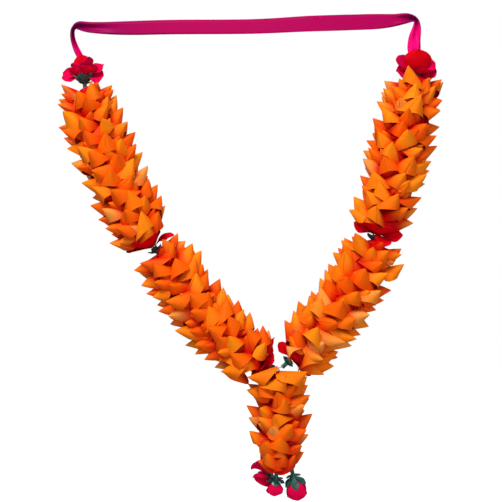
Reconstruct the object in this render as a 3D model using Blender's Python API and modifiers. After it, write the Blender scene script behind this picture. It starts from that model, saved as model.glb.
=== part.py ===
"""Hanging garland of folded sandalwood shavings on a satin ribbon.

The garland hangs in the XZ plane and is seen from -Y. The origin lies midway
between the two bends where the ribbon is hung up. Two strings run down from
the ribbon's ends and meet at the junction, where the pendant begins. Each
strand of cones and each flower is threaded on one of them, and its place is
its distance down that string.
"""

import math
import random

import bmesh
import bpy
from mathutils import Matrix, Vector

# Driving dimensions, in metres and degrees
RIBBON_THICKNESS = 0.0008
RIBBON_FLAT_WIDTH = 0.020
RIBBON_FOLDS = 4
RIBBON_FOLD_DEPTH_LIMIT = 0.0022

THREAD_RADIUS = 0.0006
THREAD_STEP = 0.015
THREAD_CORNER = 0.004
BORE_RADIUS = 0.0019
BORE_SIDES = 5
BORE_STEP = 0.018
BORE_OVERRUN = 0.030
KNOT_WIRE_RADIUS = 0.0009
RIBBON_KNOT_RADIUS = 0.0045
RIBBON_KNOT_DISTANCE = 0.004
THREAD_START = 0.014
PENDANT_RING_RADIUS = 0.0021
PENDANT_RING_DROP = 0.0003
PENDANT_KNOT_RADIUS = 0.0030
TIE_GAP = 0.0010
TIE_DEPTH = 0.0050

CONE_LENGTH = 0.035
CONE_RADIUS = 0.0130
CONE_SIDES = 4
CONE_SLANT = 45.0
AZIMUTH_JITTER = 7.0
DISTANCE_JITTER = 0.0025
SLANT_JITTER = 9.0
LENGTH_JITTER = 0.08
ROOT_RADIUS = 0.0165
CORE_RADIUS = 0.0195
CORE_SIDES = 7
CORE_STEP = 0.030
CORE_OVERHANG_TOP = 0.012
CORE_OVERHANG_END = 0.003
CORE_END_SHARE = 0.75

PETAL_THICKNESS = 0.0009
PETAL_ROOT_SHARE = 0.24
PETAL_CUP = 0.22
PETAL_TWIST = 0.16
PETAL_WIDEST = 1.35
LONG_PETAL = 0.020
LAYER_BASE = 0.0008
LAYER_STEP = 0.0012
PETAL_SUNK = 0.0012
HUB_RADIUS = 0.0050
HUB_HEIGHT = 0.0030
HUB_LIFT = 0.0030
HUB_BORE_RADIUS = 0.0022
CUP_RADIUS = 0.0046
CUP_HEIGHT = 0.0042
CUP_GAP = 0.0004
SEPAL_COUNT = 5
SEPAL_FIRST = 90.0
SEPAL_HEIGHT = 0.0014
SEPAL_LENGTH = 0.0110
SEPAL_RADIUS = 0.0026
SEPAL_FLATNESS = 0.28
SEPAL_ROOT = 0.0026
TUBE_RADIUS = 0.0026
TUBE_LENGTH = 0.0110
TUBE_BORE_RADIUS = 0.0017
TURNED_STEPS = 6

SMOOTH_STEP = 0.001
DIRECTION_REACH = 0.002

# Routes of the strings in the XZ plane, from the ribbon's ends to the junction
JUNCTION = (0.0435, -0.4340)
LEFT_ROUTE = [
    (-0.2020, -0.0500), (-0.1995, -0.0725), (-0.1966, -0.0980), (-0.1754, -0.1595),
    (-0.1454, -0.2284), (-0.1281, -0.2621), (-0.1150, -0.2790), (-0.1010, -0.2975),
    (-0.0533, -0.3618), (-0.0024, -0.4101), (0.0160, -0.4230), (0.0320, -0.4296),
]
RIGHT_ROUTE = [
    (0.2130, -0.0460), (0.2132, -0.0700), (0.2099, -0.0924), (0.1818, -0.2093),
    (0.1725, -0.2450), (0.1650, -0.2660), (0.1580, -0.2860), (0.1380, -0.3295),
    (0.1145, -0.3620), (0.0870, -0.3920), (0.0680, -0.4120), (0.0550, -0.4250),
]
PENDANT_ROUTE = [(0.0436, -0.4366), (0.0440, -0.4700), (0.0448, -0.5200), (0.0450, -0.5545)]

# The ribbon's middle line and its gathered width, from the left end to the right
RIBBON_STATIONS = [
    (-0.2018, -0.0564, 0.0048), (-0.2020, -0.0510, 0.0050), (-0.2045, -0.0440, 0.0078),
    (-0.2100, -0.0330, 0.0075), (-0.2136, -0.0225, 0.0066), (-0.2145, -0.0130, 0.0060),
    (-0.2125, -0.0072, 0.0070), (-0.2065, -0.0046, 0.0110), (-0.1900, -0.0068, 0.0140),
    (-0.1450, -0.0071, 0.0175), (-0.0860, -0.0059, 0.0185), (0.0080, -0.0052, 0.0190),
    (0.0780, -0.0022, 0.0200), (0.1280, -0.0006, 0.0200), (0.1690, 0.0011, 0.0190),
    (0.1980, 0.0040, 0.0140), (0.2100, 0.0046, 0.0095), (0.2155, 0.0020, 0.0070),
    (0.2160, -0.0060, 0.0100), (0.2135, -0.0200, 0.0150), (0.2128, -0.0340, 0.0165),
    (0.2130, -0.0420, 0.0100), (0.2130, -0.0470, 0.0050), (0.2130, -0.0524, 0.0048),
]

# Strands: string, distance of the first and last row of cone roots, rows, cones a row,
# size at the top, middle and end, and seed
STRANDS = {
    "strand_upper_left": ("left", 0.052, 0.2345, 11, 6, (0.92, 0.98, 0.88), 11),
    "strand_lower_left": ("left", 0.281, 0.4355, 9, 6, (0.90, 1.0, 0.96), 12),
    "strand_upper_right": ("right", 0.050, 0.2105, 10, 6, (0.90, 0.97, 0.92), 13),
    "strand_lower_right": ("right", 0.2555, 0.3998, 9, 6, (0.92, 1.0, 0.96), 14),
    "strand_pendant": ("pendant", 0.029, 0.1080, 5, 6, (0.98, 0.98, 0.78), 15),
}

# Flowers on a string: string, distance of the hub, and layers of petals from the outside in,
# each with count, first azimuth, sweep, lift, curl, length and width
STRUNG_FLOWERS = {
    "top_left": ("left", 0.0235, (
        (5, 18, 360, 14, 10, 0.026, 0.022),
        (4, 50, 360, 50, 16, 0.028, 0.022),
    )),
    "top_right": ("right", 0.0235, (
        (5, 8, 360, 14, 10, 0.026, 0.022),
        (4, 83, 360, 58, 10, 0.034, 0.025),
    )),
    "mid_left": ("left", 0.2545, (
        (5, 10, 360, 0, 10, 0.027, 0.023),
        (3, 40, 360, 28, 20, 0.016, 0.014),
    )),
    "mid_right": ("right", 0.2300, (
        (5, 20, 360, 0, 10, 0.027, 0.023),
        (3, 50, 360, 28, 20, 0.016, 0.014),
    )),
    "junction_left": ("left", 0.4570, (
        (5, -110, 275, -8, 10, 0.030, 0.018),
        (3, 31, 360, 28, 20, 0.016, 0.014),
    )),
    "junction_right": ("right", 0.4210, (
        (5, 11, 360, 9.5, 10, 0.025, 0.022),
        (3, 34, 360, 28, 20, 0.016, 0.014),
    )),
}

# Flowers hanging below the pendant: hub, opening direction and layers
HANGING_FLOWERS = {
    "pendant_right": ((0.0610, -0.0100, -0.5650), (0.22, 0.16, -0.96), (
        (4, 45, 360, 58, 26, 0.028, 0.021),
    )),
    "pendant_middle": ((0.0400, -0.0040, -0.5680), (-0.06, -0.04, -1.0), (
        (3, 90, 360, 62, 22, 0.022, 0.015),
    )),
    "pendant_left": ((0.0300, 0.0140, -0.5640), (-0.45, 0.10, -0.88), (
        (3, 180, 270, 18, 24, 0.022, 0.019),
    )),
}
STRUNG_SEPAL_DROP = 12.0
HANGING_SEPAL_DROP = 34.0

# Colour, roughness of each material
MATERIALS = {
    "shavings": ((0.90, 0.30, 0.03), 0.75),
    "petals": ((0.70, 0.01, 0.04), 0.80),
    "calyx": ((0.01, 0.12, 0.10), 0.40),
    "ribbon": ((0.60, 0.02, 0.16), 0.45),
    "thread": ((0.75, 0.70, 0.62), 0.80),
}

FRONT = Vector((0.0, -1.0, 0.0))


def clear_scene():
    """Remove every object of the open scene."""
    for old in list(bpy.data.objects):
        bpy.data.objects.remove(old, do_unlink=True)


def make_collection(name):
    """A new collection linked to the scene."""
    collection = bpy.data.collections.new(name)
    bpy.context.scene.collection.children.link(collection)
    return collection


def make_material(name):
    """A Principled material with the colour and roughness of its table entry."""
    colour, roughness = MATERIALS[name]
    material = bpy.data.materials.new(name)
    material.use_nodes = True
    shader = material.node_tree.nodes["Principled BSDF"]
    shader.inputs["Base Color"].default_value = (*colour, 1.0)
    shader.inputs["Roughness"].default_value = roughness
    shader.inputs["Metallic"].default_value = 0.0
    material.diffuse_color = (*colour, 1.0)
    return material


def object_from_bmesh(name, shape, collection):
    """A linked object that holds a finished bmesh."""
    mesh = bpy.data.meshes.new(name)
    shape.to_mesh(mesh)
    shape.free()
    made = bpy.data.objects.new(name, mesh)
    collection.objects.link(made)
    return made


def apply_modifiers(piece):
    """Replace a piece's mesh by its evaluated mesh."""
    bpy.context.view_layer.update()
    depsgraph = bpy.context.evaluated_depsgraph_get()
    mesh = bpy.data.meshes.new_from_object(piece.evaluated_get(depsgraph))
    piece.modifiers.clear()
    piece.data = mesh


def keep_outer_shell(piece):
    """Fill hollows that a union sealed, by removing every shell but the largest."""
    shape = bmesh.new()
    shape.from_mesh(piece.data)
    unseen = set(shape.verts)
    shells = []
    while unseen:
        shell = set()
        border = [unseen.pop()]
        while border:
            vertex = border.pop()
            shell.add(vertex)
            for edge in vertex.link_edges:
                other = edge.other_vert(vertex)
                if other in unseen:
                    unseen.remove(other)
                    border.append(other)
        shells.append(shell)
    shells.sort(key=len)
    for shell in shells[:-1]:
        bmesh.ops.delete(shape, geom=list(shell), context="VERTS")
    shape.to_mesh(piece.data)
    shape.free()


def fuse(base, extras):
    """Join all objects of a collection to the base with one union, then remove them."""
    union = base.modifiers.new("fuse", "BOOLEAN")
    union.operation = "UNION"
    union.operand_type = "COLLECTION"
    union.collection = extras
    union.solver = "EXACT"
    apply_modifiers(base)
    keep_outer_shell(base)
    for extra in list(extras.objects):
        bpy.data.objects.remove(extra, do_unlink=True)
    bpy.data.collections.remove(extras)


def bore_through(base, cutter):
    """Cut the thread's channel through a fused strand, then remove the cutter."""
    cut = base.modifiers.new("bore", "BOOLEAN")
    cut.operation = "DIFFERENCE"
    cut.object = cutter
    cut.solver = "EXACT"
    apply_modifiers(base)
    bpy.data.objects.remove(cutter, do_unlink=True)


def spline_point(before, start, end, after, share):
    """Catmull-Rom point between start and end."""
    square = share * share
    cube = square * share
    return 0.5 * (
        2.0 * start
        + (end - before) * share
        + (2.0 * before - 5.0 * start + 4.0 * end - after) * square
        + (3.0 * start - before - 3.0 * end + after) * cube
    )


class StringLine:
    """A smooth string in the XZ plane, measured by distance from its upper end."""

    def __init__(self, route):
        knots = [Vector((x, 0.0, z)) for x, z in route]
        padded = [2.0 * knots[0] - knots[1]] + knots + [2.0 * knots[-1] - knots[-2]]
        self.points = [knots[0]]
        for index in range(1, len(padded) - 2):
            span = (padded[index + 1] - padded[index]).length
            steps = max(2, round(span / SMOOTH_STEP))
            for step in range(1, steps + 1):
                self.points.append(spline_point(*padded[index - 1:index + 3], step / steps))
        self.reach = [0.0]
        for first, second in zip(self.points, self.points[1:]):
            self.reach.append(self.reach[-1] + (second - first).length)
        self.length = self.reach[-1]

    def point(self, distance):
        """Point at a distance down the string, carried straight on past its ends."""
        inside = min(max(distance, 0.0), self.length)
        index = 1
        while self.reach[index] < inside:
            index += 1
        span = self.reach[index] - self.reach[index - 1]
        share = (inside - self.reach[index - 1]) / span
        here = self.points[index - 1].lerp(self.points[index], share)
        return here + self.down(inside) * (distance - inside)

    def down(self, distance):
        """Unit direction down the string at a distance."""
        inside = min(max(distance, DIRECTION_REACH), self.length - DIRECTION_REACH)
        ahead = self.raw_point(inside + DIRECTION_REACH)
        behind = self.raw_point(inside - DIRECTION_REACH)
        return (ahead - behind).normalized()

    def raw_point(self, distance):
        """Nearest sampled point at a distance inside the string."""
        share = distance / self.length * (len(self.points) - 1)
        guess = min(max(round(share), 0), len(self.points) - 1)
        while guess > 0 and self.reach[guess] > distance:
            guess -= 1
        while guess < len(self.points) - 1 and self.reach[guess] < distance:
            guess += 1
        return self.points[guess]

    def frame(self, distance):
        """Matrix with +Z up the string, +X to its right and -Y to the front."""
        up = -self.down(distance)
        right = FRONT.cross(-up).normalized()
        back = up.cross(right)
        turn = Matrix((right, back, up)).transposed()
        return Matrix.Translation(self.point(distance)) @ turn.to_4x4()


STRINGS = {
    "left": StringLine(LEFT_ROUTE + [JUNCTION]),
    "right": StringLine(RIGHT_ROUTE + [JUNCTION]),
    "pendant": StringLine(PENDANT_ROUTE),
}


def three_point(values, share):
    """Smooth value through top, middle and end values."""
    top, middle, end = values
    if share < 0.5:
        return top + (middle - top) * math.sin(math.pi * share)
    return end + (middle - end) * math.sin(math.pi * share)


def cone_places(name):
    """Root, direction and size of each cone of a strand, in rows down its string."""
    string_name, first, last, rows, row_count, sizes, seed = STRANDS[name]
    line = STRINGS[string_name]
    draw = random.Random(seed)
    places = []
    for row in range(rows):
        share = row / (rows - 1)
        size = three_point(sizes, share)
        for turn in range(row_count):
            azimuth = 2.0 * math.pi * (turn + 0.5 * (row % 2)) / row_count
            azimuth += math.radians(draw.uniform(-AZIMUTH_JITTER, AZIMUTH_JITTER))
            distance = first + (last - first) * share
            distance += draw.uniform(-DISTANCE_JITTER, DISTANCE_JITTER)
            slant = math.radians(CONE_SLANT + draw.uniform(-SLANT_JITTER, SLANT_JITTER))
            length = CONE_LENGTH * size * draw.uniform(1.0 - LENGTH_JITTER, 1.0 + LENGTH_JITTER)
            frame = line.frame(distance)
            outward = frame.to_3x3() @ Vector((math.cos(azimuth), -math.sin(azimuth), 0.0))
            up = frame.to_3x3() @ Vector((0.0, 0.0, 1.0))
            root = frame.translation + outward * ROOT_RADIUS * size
            direction = outward * math.cos(slant) + up * math.sin(slant)
            places.append((root, direction, outward, length, CONE_RADIUS * size))
    return places


def place_on_axis(root, direction, outward):
    """Matrix with +Z along a direction and +X towards a spike's outer side."""
    side = outward.cross(direction).normalized()
    outer = direction.cross(side)
    turn = Matrix((-outer, -side, direction)).transposed()
    return Matrix.Translation(root) @ turn.to_4x4()


def make_spike(place, flatness, collection):
    """One pointed form: a cone of few sides from its root, flattened towards its outer side."""
    root, direction, outward, length, radius = place
    shape = bmesh.new()
    bmesh.ops.create_cone(
        shape, cap_ends=True, segments=CONE_SIDES, radius1=radius, radius2=0.0, depth=length,
        matrix=Matrix.Translation((0.0, 0.0, 0.5 * length)),
    )
    bmesh.ops.scale(shape, vec=(flatness, 1.0, 1.0), verts=shape.verts)
    bmesh.ops.transform(shape, matrix=place_on_axis(root, direction, outward), verts=shape.verts)
    return object_from_bmesh("spike", shape, collection)


def sweep(name, centres, radius, sides, collection):
    """Closed tube with flat ends that follows centre points lying near the XZ plane."""
    shape = bmesh.new()
    rings = []
    for index, centre in enumerate(centres):
        ahead = centres[min(index + 1, len(centres) - 1)]
        behind = centres[max(index - 1, 0)]
        along = (ahead - behind).normalized()
        right = FRONT.cross(along).normalized()
        front = along.cross(right)
        ring = []
        for side in range(sides):
            angle = 2.0 * math.pi * side / sides
            offset = right * math.cos(angle) + front * math.sin(angle)
            ring.append(shape.verts.new(centre + offset * radius[index]))
        rings.append(ring)
    for first, second in zip(rings, rings[1:]):
        for side in range(sides):
            after = (side + 1) % sides
            shape.faces.new((first[side], first[after], second[after], second[side]))
    shape.faces.new(rings[0])
    shape.faces.new(list(reversed(rings[-1])))
    bmesh.ops.recalc_face_normals(shape, faces=shape.faces)
    return object_from_bmesh(name, shape, collection)


def core_span(name):
    """Distances where a strand's core starts and ends."""
    first, last = STRANDS[name][1:3]
    return first - CORE_OVERHANG_TOP, last + CORE_OVERHANG_END


def make_strand(name, collection, material):
    """A strand: slim core, rows of cones fused to it and a bore for the thread."""
    line = STRINGS[STRANDS[name][0]]
    start, end = core_span(name)
    steps = max(3, round((end - start) / CORE_STEP))
    centres = [line.point(start + (end - start) * step / steps) for step in range(steps + 1)]
    end_radius = CORE_RADIUS * CORE_END_SHARE
    radii = [end_radius if step in (0, steps) else CORE_RADIUS for step in range(steps + 1)]
    core = sweep(name, centres, radii, CORE_SIDES, collection)
    cones = make_collection(name + "_cones")
    for place in cone_places(name):
        make_spike(place, 1.0, cones)
    fuse(core, cones)
    whole = end - start + 2.0 * BORE_OVERRUN
    steps = round(whole / BORE_STEP)
    bore_start = start - BORE_OVERRUN
    centres = [line.point(bore_start + whole * step / steps) for step in range(steps + 1)]
    bore = sweep(name + "_bore", centres, [BORE_RADIUS] * len(centres), BORE_SIDES, collection)
    bore_through(core, bore)
    core.data.materials.clear()
    core.data.materials.append(material)
    return core


def turned_ring(name, outline, collection):
    """Ring turned from an outline of radius and height, outer side first, top to bottom."""
    shape = bmesh.new()
    corners = [shape.verts.new((radius, 0.0, height)) for radius, height in outline]
    for first, second in zip(corners, corners[1:] + corners[:1]):
        shape.edges.new((first, second))
    ring = object_from_bmesh(name, shape, collection)
    turn = ring.modifiers.new("turn", "SCREW")
    turn.steps = TURNED_STEPS
    turn.render_steps = TURNED_STEPS
    turn.use_merge_vertices = True
    turn.merge_threshold = 0.00005
    apply_modifiers(ring)
    return ring


def petal_point(form, azimuth, height, start, along, across):
    """Point of a petal's middle sheet, in its flower's own axes."""
    lift, curl, length, width = form
    tilt = math.radians(lift)
    bend = math.radians(curl)
    turned = tilt + bend * along
    reach = start + length * (math.sin(turned) - math.sin(tilt)) / bend
    rise = height + length * (math.cos(tilt) - math.cos(turned)) / bend
    bulge = math.sin(math.pi * along ** PETAL_WIDEST)
    half = 0.5 * width * (PETAL_ROOT_SHARE + (1.0 - PETAL_ROOT_SHARE) * bulge)
    cup = half * (PETAL_CUP * across * across + PETAL_TWIST * across)
    outward = Vector((math.cos(azimuth), -math.sin(azimuth), 0.0))
    sideways = Vector((-math.sin(azimuth), -math.cos(azimuth), 0.0))
    inward = Vector((-math.sin(turned) * outward.x, -math.sin(turned) * outward.y, math.cos(turned)))
    return outward * reach + sideways * across * half + Vector((0.0, 0.0, rise)) + inward * cup


def make_petal(form, azimuth, height, start, cells, collection):
    """A thin curved petal: an open sheet given its thickness."""
    along_cells, across_cells = cells
    shape = bmesh.new()
    rows = []
    for i in range(along_cells + 1):
        row = []
        for j in range(across_cells + 1):
            across = 2.0 * j / across_cells - 1.0
            spot = petal_point(form, azimuth, height, start, i / along_cells, across)
            row.append(shape.verts.new(spot))
        rows.append(row)
    for lower, upper in zip(rows, rows[1:]):
        for j in range(across_cells):
            shape.faces.new((lower[j], lower[j + 1], upper[j + 1], upper[j]))
    petal = object_from_bmesh("petal", shape, collection)
    skin = petal.modifiers.new("thickness", "SOLIDIFY")
    skin.thickness = PETAL_THICKNESS
    skin.offset = 0.0
    return petal


def make_petals(name, layers, matrix, collection, material):
    """All petals of one flower, fused at their hub ring."""
    hub_top = HUB_HEIGHT + HUB_LIFT
    outline = [
        (HUB_RADIUS, hub_top), (HUB_RADIUS, HUB_LIFT),
        (HUB_BORE_RADIUS, HUB_LIFT), (HUB_BORE_RADIUS, hub_top),
    ]
    hub = turned_ring("petals_" + name, outline, collection)
    blades = make_collection(name + "_blades")
    for level, (count, first, sweep_angle, lift, curl, length, width) in enumerate(layers):
        height = HUB_LIFT + LAYER_BASE + LAYER_STEP * level
        start = HUB_RADIUS - PETAL_SUNK
        cells = (3, 2) if length > LONG_PETAL else (2, 2)
        for index in range(count):
            azimuth = math.radians(first + sweep_angle * index / count)
            make_petal((lift, curl, length, width), azimuth, height, start, cells, blades)
    fuse(hub, blades)
    hub.matrix_world = matrix
    hub.data.materials.clear()
    hub.data.materials.append(material)
    return hub


def make_calyx(name, lift, matrix, collection, material):
    """Plastic cup with five pointed sepals and a bored tube below a flower."""
    cup_top = HUB_LIFT - CUP_GAP
    outline = [
        (CUP_RADIUS, cup_top), (TUBE_RADIUS, cup_top - CUP_HEIGHT), (TUBE_RADIUS, -TUBE_LENGTH),
        (TUBE_BORE_RADIUS, -TUBE_LENGTH), (TUBE_BORE_RADIUS, cup_top),
    ]
    cup = turned_ring("calyx_" + name, outline, collection)
    sepals = make_collection(name + "_sepals")
    tilt = math.radians(lift)
    for index in range(SEPAL_COUNT):
        azimuth = math.radians(SEPAL_FIRST + 360.0 * index / SEPAL_COUNT)
        outward = Vector((math.cos(azimuth), -math.sin(azimuth), 0.0))
        root = outward * SEPAL_ROOT + Vector((0.0, 0.0, cup_top - SEPAL_HEIGHT))
        direction = outward * math.cos(tilt) + Vector((0.0, 0.0, math.sin(tilt)))
        make_spike((root, direction, outward, SEPAL_LENGTH, SEPAL_RADIUS), SEPAL_FLATNESS, sepals)
    fuse(cup, sepals)
    cup.matrix_world = matrix
    cup.data.materials.clear()
    cup.data.materials.append(material)
    return cup


def make_ribbon(collection, material):
    """The ribbon: a band hung over two points, gathered in lengthwise folds."""
    stations = [(Vector((x, 0.0, z)), width) for x, z, width in RIBBON_STATIONS]
    shape = bmesh.new()
    rows = []
    for index, (centre, width) in enumerate(stations):
        ahead = stations[min(index + 1, len(stations) - 1)][0]
        behind = stations[max(index - 1, 0)][0]
        along = (ahead - behind).normalized()
        across = FRONT.cross(along).normalized()
        fold_width = width / RIBBON_FOLDS
        full_fold = RIBBON_FLAT_WIDTH / RIBBON_FOLDS
        depth = min(math.sqrt(max(full_fold ** 2 - fold_width ** 2, 0.0)), RIBBON_FOLD_DEPTH_LIMIT)
        row = []
        for fold in range(RIBBON_FOLDS + 1):
            offset = across * (fold / RIBBON_FOLDS - 0.5) * width
            zigzag = FRONT * depth * (0.5 if fold % 2 else -0.5)
            row.append(shape.verts.new(centre + offset + zigzag))
        rows.append(row)
    for first, second in zip(rows, rows[1:]):
        for fold in range(RIBBON_FOLDS):
            shape.faces.new((first[fold], first[fold + 1], second[fold + 1], second[fold]))
    ribbon = object_from_bmesh("ribbon", shape, collection)
    skin = ribbon.modifiers.new("thickness", "SOLIDIFY")
    skin.thickness = RIBBON_THICKNESS
    skin.offset = 0.0
    apply_modifiers(ribbon)
    ribbon.data.materials.clear()
    ribbon.data.materials.append(material)
    return ribbon


def thread_tube(name, spots, collection):
    """A thread through given points: a curve with round bevel, made a closed mesh."""
    data = bpy.data.curves.new(name, "CURVE")
    data.dimensions = "3D"
    data.bevel_depth = THREAD_RADIUS
    data.bevel_resolution = 1
    data.use_fill_caps = True
    line = data.splines.new("POLY")
    line.points.add(len(spots) - 1)
    for point, spot in zip(line.points, spots):
        point.co = (*spot, 1.0)
    guide = bpy.data.objects.new(name + "_line", data)
    collection.objects.link(guide)
    bpy.context.view_layer.update()
    depsgraph = bpy.context.evaluated_depsgraph_get()
    mesh = bpy.data.meshes.new_from_object(guide.evaluated_get(depsgraph))
    shape = bmesh.new()
    shape.from_mesh(mesh)
    bmesh.ops.remove_doubles(shape, verts=shape.verts, dist=0.00001)
    bmesh.ops.recalc_face_normals(shape, faces=shape.faces)
    tube = object_from_bmesh(name, shape, collection)
    tube.matrix_world = guide.matrix_world.copy()
    bpy.data.objects.remove(guide, do_unlink=True)
    return tube


def thread_ring(centre, axis, radius, collection):
    """A closed turn of thread round something that it ties."""
    turn = axis.normalized().to_track_quat("Z", "Y").to_matrix().to_4x4()
    bpy.ops.mesh.primitive_torus_add(
        major_radius=radius, minor_radius=KNOT_WIRE_RADIUS, major_segments=10, minor_segments=4,
    )
    ring = bpy.context.active_object
    ring.matrix_world = Matrix.Translation(centre) @ turn
    for home in list(ring.users_collection):
        home.objects.unlink(ring)
    collection.objects.link(ring)
    return ring


def string_points(line, start, end):
    """Evenly spaced points of a string between two distances."""
    steps = round((end - start) / THREAD_STEP)
    return [line.point(start + (end - start) * step / steps) for step in range(steps + 1)]


def make_main_thread(collection, material):
    """The long thread from one ribbon end down to the junction and up to the other."""
    spots = []
    rings = make_collection("ribbon_knots")
    for line in (STRINGS["left"], STRINGS["right"]):
        knot = line.frame(RIBBON_KNOT_DISTANCE)
        ring_side = knot @ Vector((RIBBON_KNOT_RADIUS, 0.0, 0.0))
        thread_ring(knot.translation, line.down(RIBBON_KNOT_DISTANCE), RIBBON_KNOT_RADIUS, rings)
        half = [ring_side] + string_points(line, THREAD_START, line.length - THREAD_CORNER)
        if spots:
            spots.append(Vector((JUNCTION[0], 0.0, JUNCTION[1])))
            half.reverse()
        spots += half
    thread = thread_tube("thread_main", spots, collection)
    fuse(thread, rings)
    thread.data.materials.clear()
    thread.data.materials.append(material)
    return thread


def make_pendant_thread(collection, material):
    """Ring at the junction, thread down the pendant, its knot and three ties to the flowers."""
    line = STRINGS["pendant"]
    ring_centre = Vector((JUNCTION[0], 0.0, JUNCTION[1] - PENDANT_RING_DROP))
    end = line.points[-1]
    spots = string_points(line, 0.0, line.length)
    thread = thread_tube("thread_pendant", spots, collection)
    extras = make_collection("pendant_ties")
    thread_ring(ring_centre, Vector((1.0, 0.0, 0.2)), PENDANT_RING_RADIUS, extras)
    shape = bmesh.new()
    bmesh.ops.create_icosphere(
        shape, subdivisions=1, radius=PENDANT_KNOT_RADIUS, matrix=Matrix.Translation(end),
    )
    object_from_bmesh("knot", shape, extras)
    for hub, direction, _ in HANGING_FLOWERS.values():
        out = Vector(direction).normalized()
        mouth = Vector(hub) - out * (TUBE_LENGTH + TIE_GAP)
        inside = Vector(hub) - out * (TUBE_LENGTH - TIE_DEPTH)
        thread_tube("tie", [end, mouth, inside], extras)
    fuse(thread, extras)
    thread.data.materials.clear()
    thread.data.materials.append(material)
    return thread


def opening_matrix(hub, direction):
    """Matrix with +Z along a hanging flower's opening direction."""
    up = Vector(direction).normalized()
    right = FRONT.cross(-up).normalized()
    back = up.cross(right)
    return Matrix.Translation(Vector(hub)) @ Matrix((right, back, up)).transposed().to_4x4()


def main():
    clear_scene()
    parts = make_collection("sandalwood_garland")
    materials = {name: make_material(name) for name in MATERIALS}
    make_ribbon(parts, materials["ribbon"])
    for name in STRANDS:
        make_strand(name, parts, materials["shavings"])
    for name, (string_name, distance, layers) in STRUNG_FLOWERS.items():
        matrix = STRINGS[string_name].frame(distance)
        make_petals(name, layers, matrix, parts, materials["petals"])
        make_calyx(name, layers[0][3] - STRUNG_SEPAL_DROP, matrix, parts, materials["calyx"])
    for name, (hub, direction, layers) in HANGING_FLOWERS.items():
        matrix = opening_matrix(hub, direction)
        make_petals(name, layers, matrix, parts, materials["petals"])
        make_calyx(name, layers[0][3] - HANGING_SEPAL_DROP, matrix, parts, materials["calyx"])
    make_main_thread(parts, materials["thread"])
    make_pendant_thread(parts, materials["thread"])


main()
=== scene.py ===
"""Looks of the hanging garland: shavings, petals, calyxes, ribbon and threads on its frame.

The strings' routes and the flowers' hubs repeat the part's own. A place on a string is its
distance down that string. Sizes are in metres, angles in degrees, colours linear.
"""

import random
from bisect import bisect_left
from math import atan, cos, hypot, pi, radians, sin, tan

import bpy
import numpy as np
from mathutils import Matrix, Vector


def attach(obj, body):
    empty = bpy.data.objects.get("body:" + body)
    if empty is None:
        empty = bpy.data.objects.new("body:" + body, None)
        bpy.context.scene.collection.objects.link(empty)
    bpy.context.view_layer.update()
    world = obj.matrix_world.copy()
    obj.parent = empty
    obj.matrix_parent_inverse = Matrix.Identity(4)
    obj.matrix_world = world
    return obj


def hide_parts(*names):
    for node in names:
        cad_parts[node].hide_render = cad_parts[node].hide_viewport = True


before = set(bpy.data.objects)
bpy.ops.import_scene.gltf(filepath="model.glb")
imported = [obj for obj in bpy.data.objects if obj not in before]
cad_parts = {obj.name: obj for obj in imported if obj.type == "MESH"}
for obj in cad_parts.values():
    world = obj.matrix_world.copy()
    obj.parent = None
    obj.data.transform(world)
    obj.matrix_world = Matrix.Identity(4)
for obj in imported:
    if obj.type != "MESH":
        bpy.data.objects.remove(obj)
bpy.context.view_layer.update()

BODY = "root"
FRONT = Vector((0.0, -1.0, 0.0))
UP = Vector((0.0, 0.0, 1.0))

# Routes of the strings in the XZ plane, from the ribbon's ends to the junction
JUNCTION = (0.0435, -0.434)
LEFT_ROUTE = [
    (-0.202, -0.05), (-0.1995, -0.0725), (-0.1966, -0.098), (-0.1754, -0.1595),
    (-0.1454, -0.2284), (-0.1281, -0.2621), (-0.115, -0.279), (-0.101, -0.2975),
    (-0.0533, -0.3618), (-0.0024, -0.4101), (0.016, -0.423), (0.032, -0.4296),
]
RIGHT_ROUTE = [
    (0.213, -0.046), (0.2132, -0.07), (0.2099, -0.0924), (0.1818, -0.2093),
    (0.1725, -0.245), (0.165, -0.266), (0.158, -0.286), (0.138, -0.3295),
    (0.1145, -0.362), (0.087, -0.392), (0.068, -0.412), (0.055, -0.425),
]
PENDANT_ROUTE = [(0.0436, -0.4366), (0.044, -0.47), (0.0448, -0.52), (0.045, -0.5545)]
SMOOTH_STEP = 0.001
DIRECTION_REACH = 0.002

# The ribbon's middle line and its gathered width, from the left end to the right
RIBBON_STATIONS = [
    (-0.2018, -0.0564, 0.0048), (-0.202, -0.051, 0.005), (-0.2045, -0.044, 0.0078),
    (-0.21, -0.033, 0.0075), (-0.2136, -0.0225, 0.0066), (-0.2145, -0.013, 0.006),
    (-0.2125, -0.0072, 0.007), (-0.2065, -0.0046, 0.011), (-0.19, -0.0068, 0.014),
    (-0.145, -0.0071, 0.0175), (-0.086, -0.0059, 0.0185), (0.008, -0.0052, 0.019),
    (0.078, -0.0022, 0.02), (0.128, -0.0006, 0.02), (0.169, 0.0011, 0.019),
    (0.198, 0.004, 0.014), (0.21, 0.0046, 0.0095), (0.2155, 0.002, 0.007),
    (0.216, -0.006, 0.01), (0.2135, -0.02, 0.015), (0.2128, -0.034, 0.0165),
    (0.213, -0.042, 0.01), (0.213, -0.047, 0.005), (0.213, -0.0524, 0.0048),
]
RIBBON_FLAT_WIDTH = 0.02
RIBBON_THICKNESS = 0.00035
RIBBON_STEP = 0.0025
RIBBON_CELLS = 36
RIBBON_TILT = 4.0

# The ribbon's folds: shares of its width turned back, their depth, the shares of gathering
# from flat to folded, the search for their depth, and radians of drift a metre
UPPER_FOLD = 0.2
LOWER_FOLD = 0.1
LOWER_FOLD_DEPTH = 0.35
GATHERING = (0.1, 0.45)
DEEPEST_FOLD = 0.03
HALVINGS = 30
FOLD_DRIFT = 7.0
TILT_DRIFT = 13.0

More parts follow.
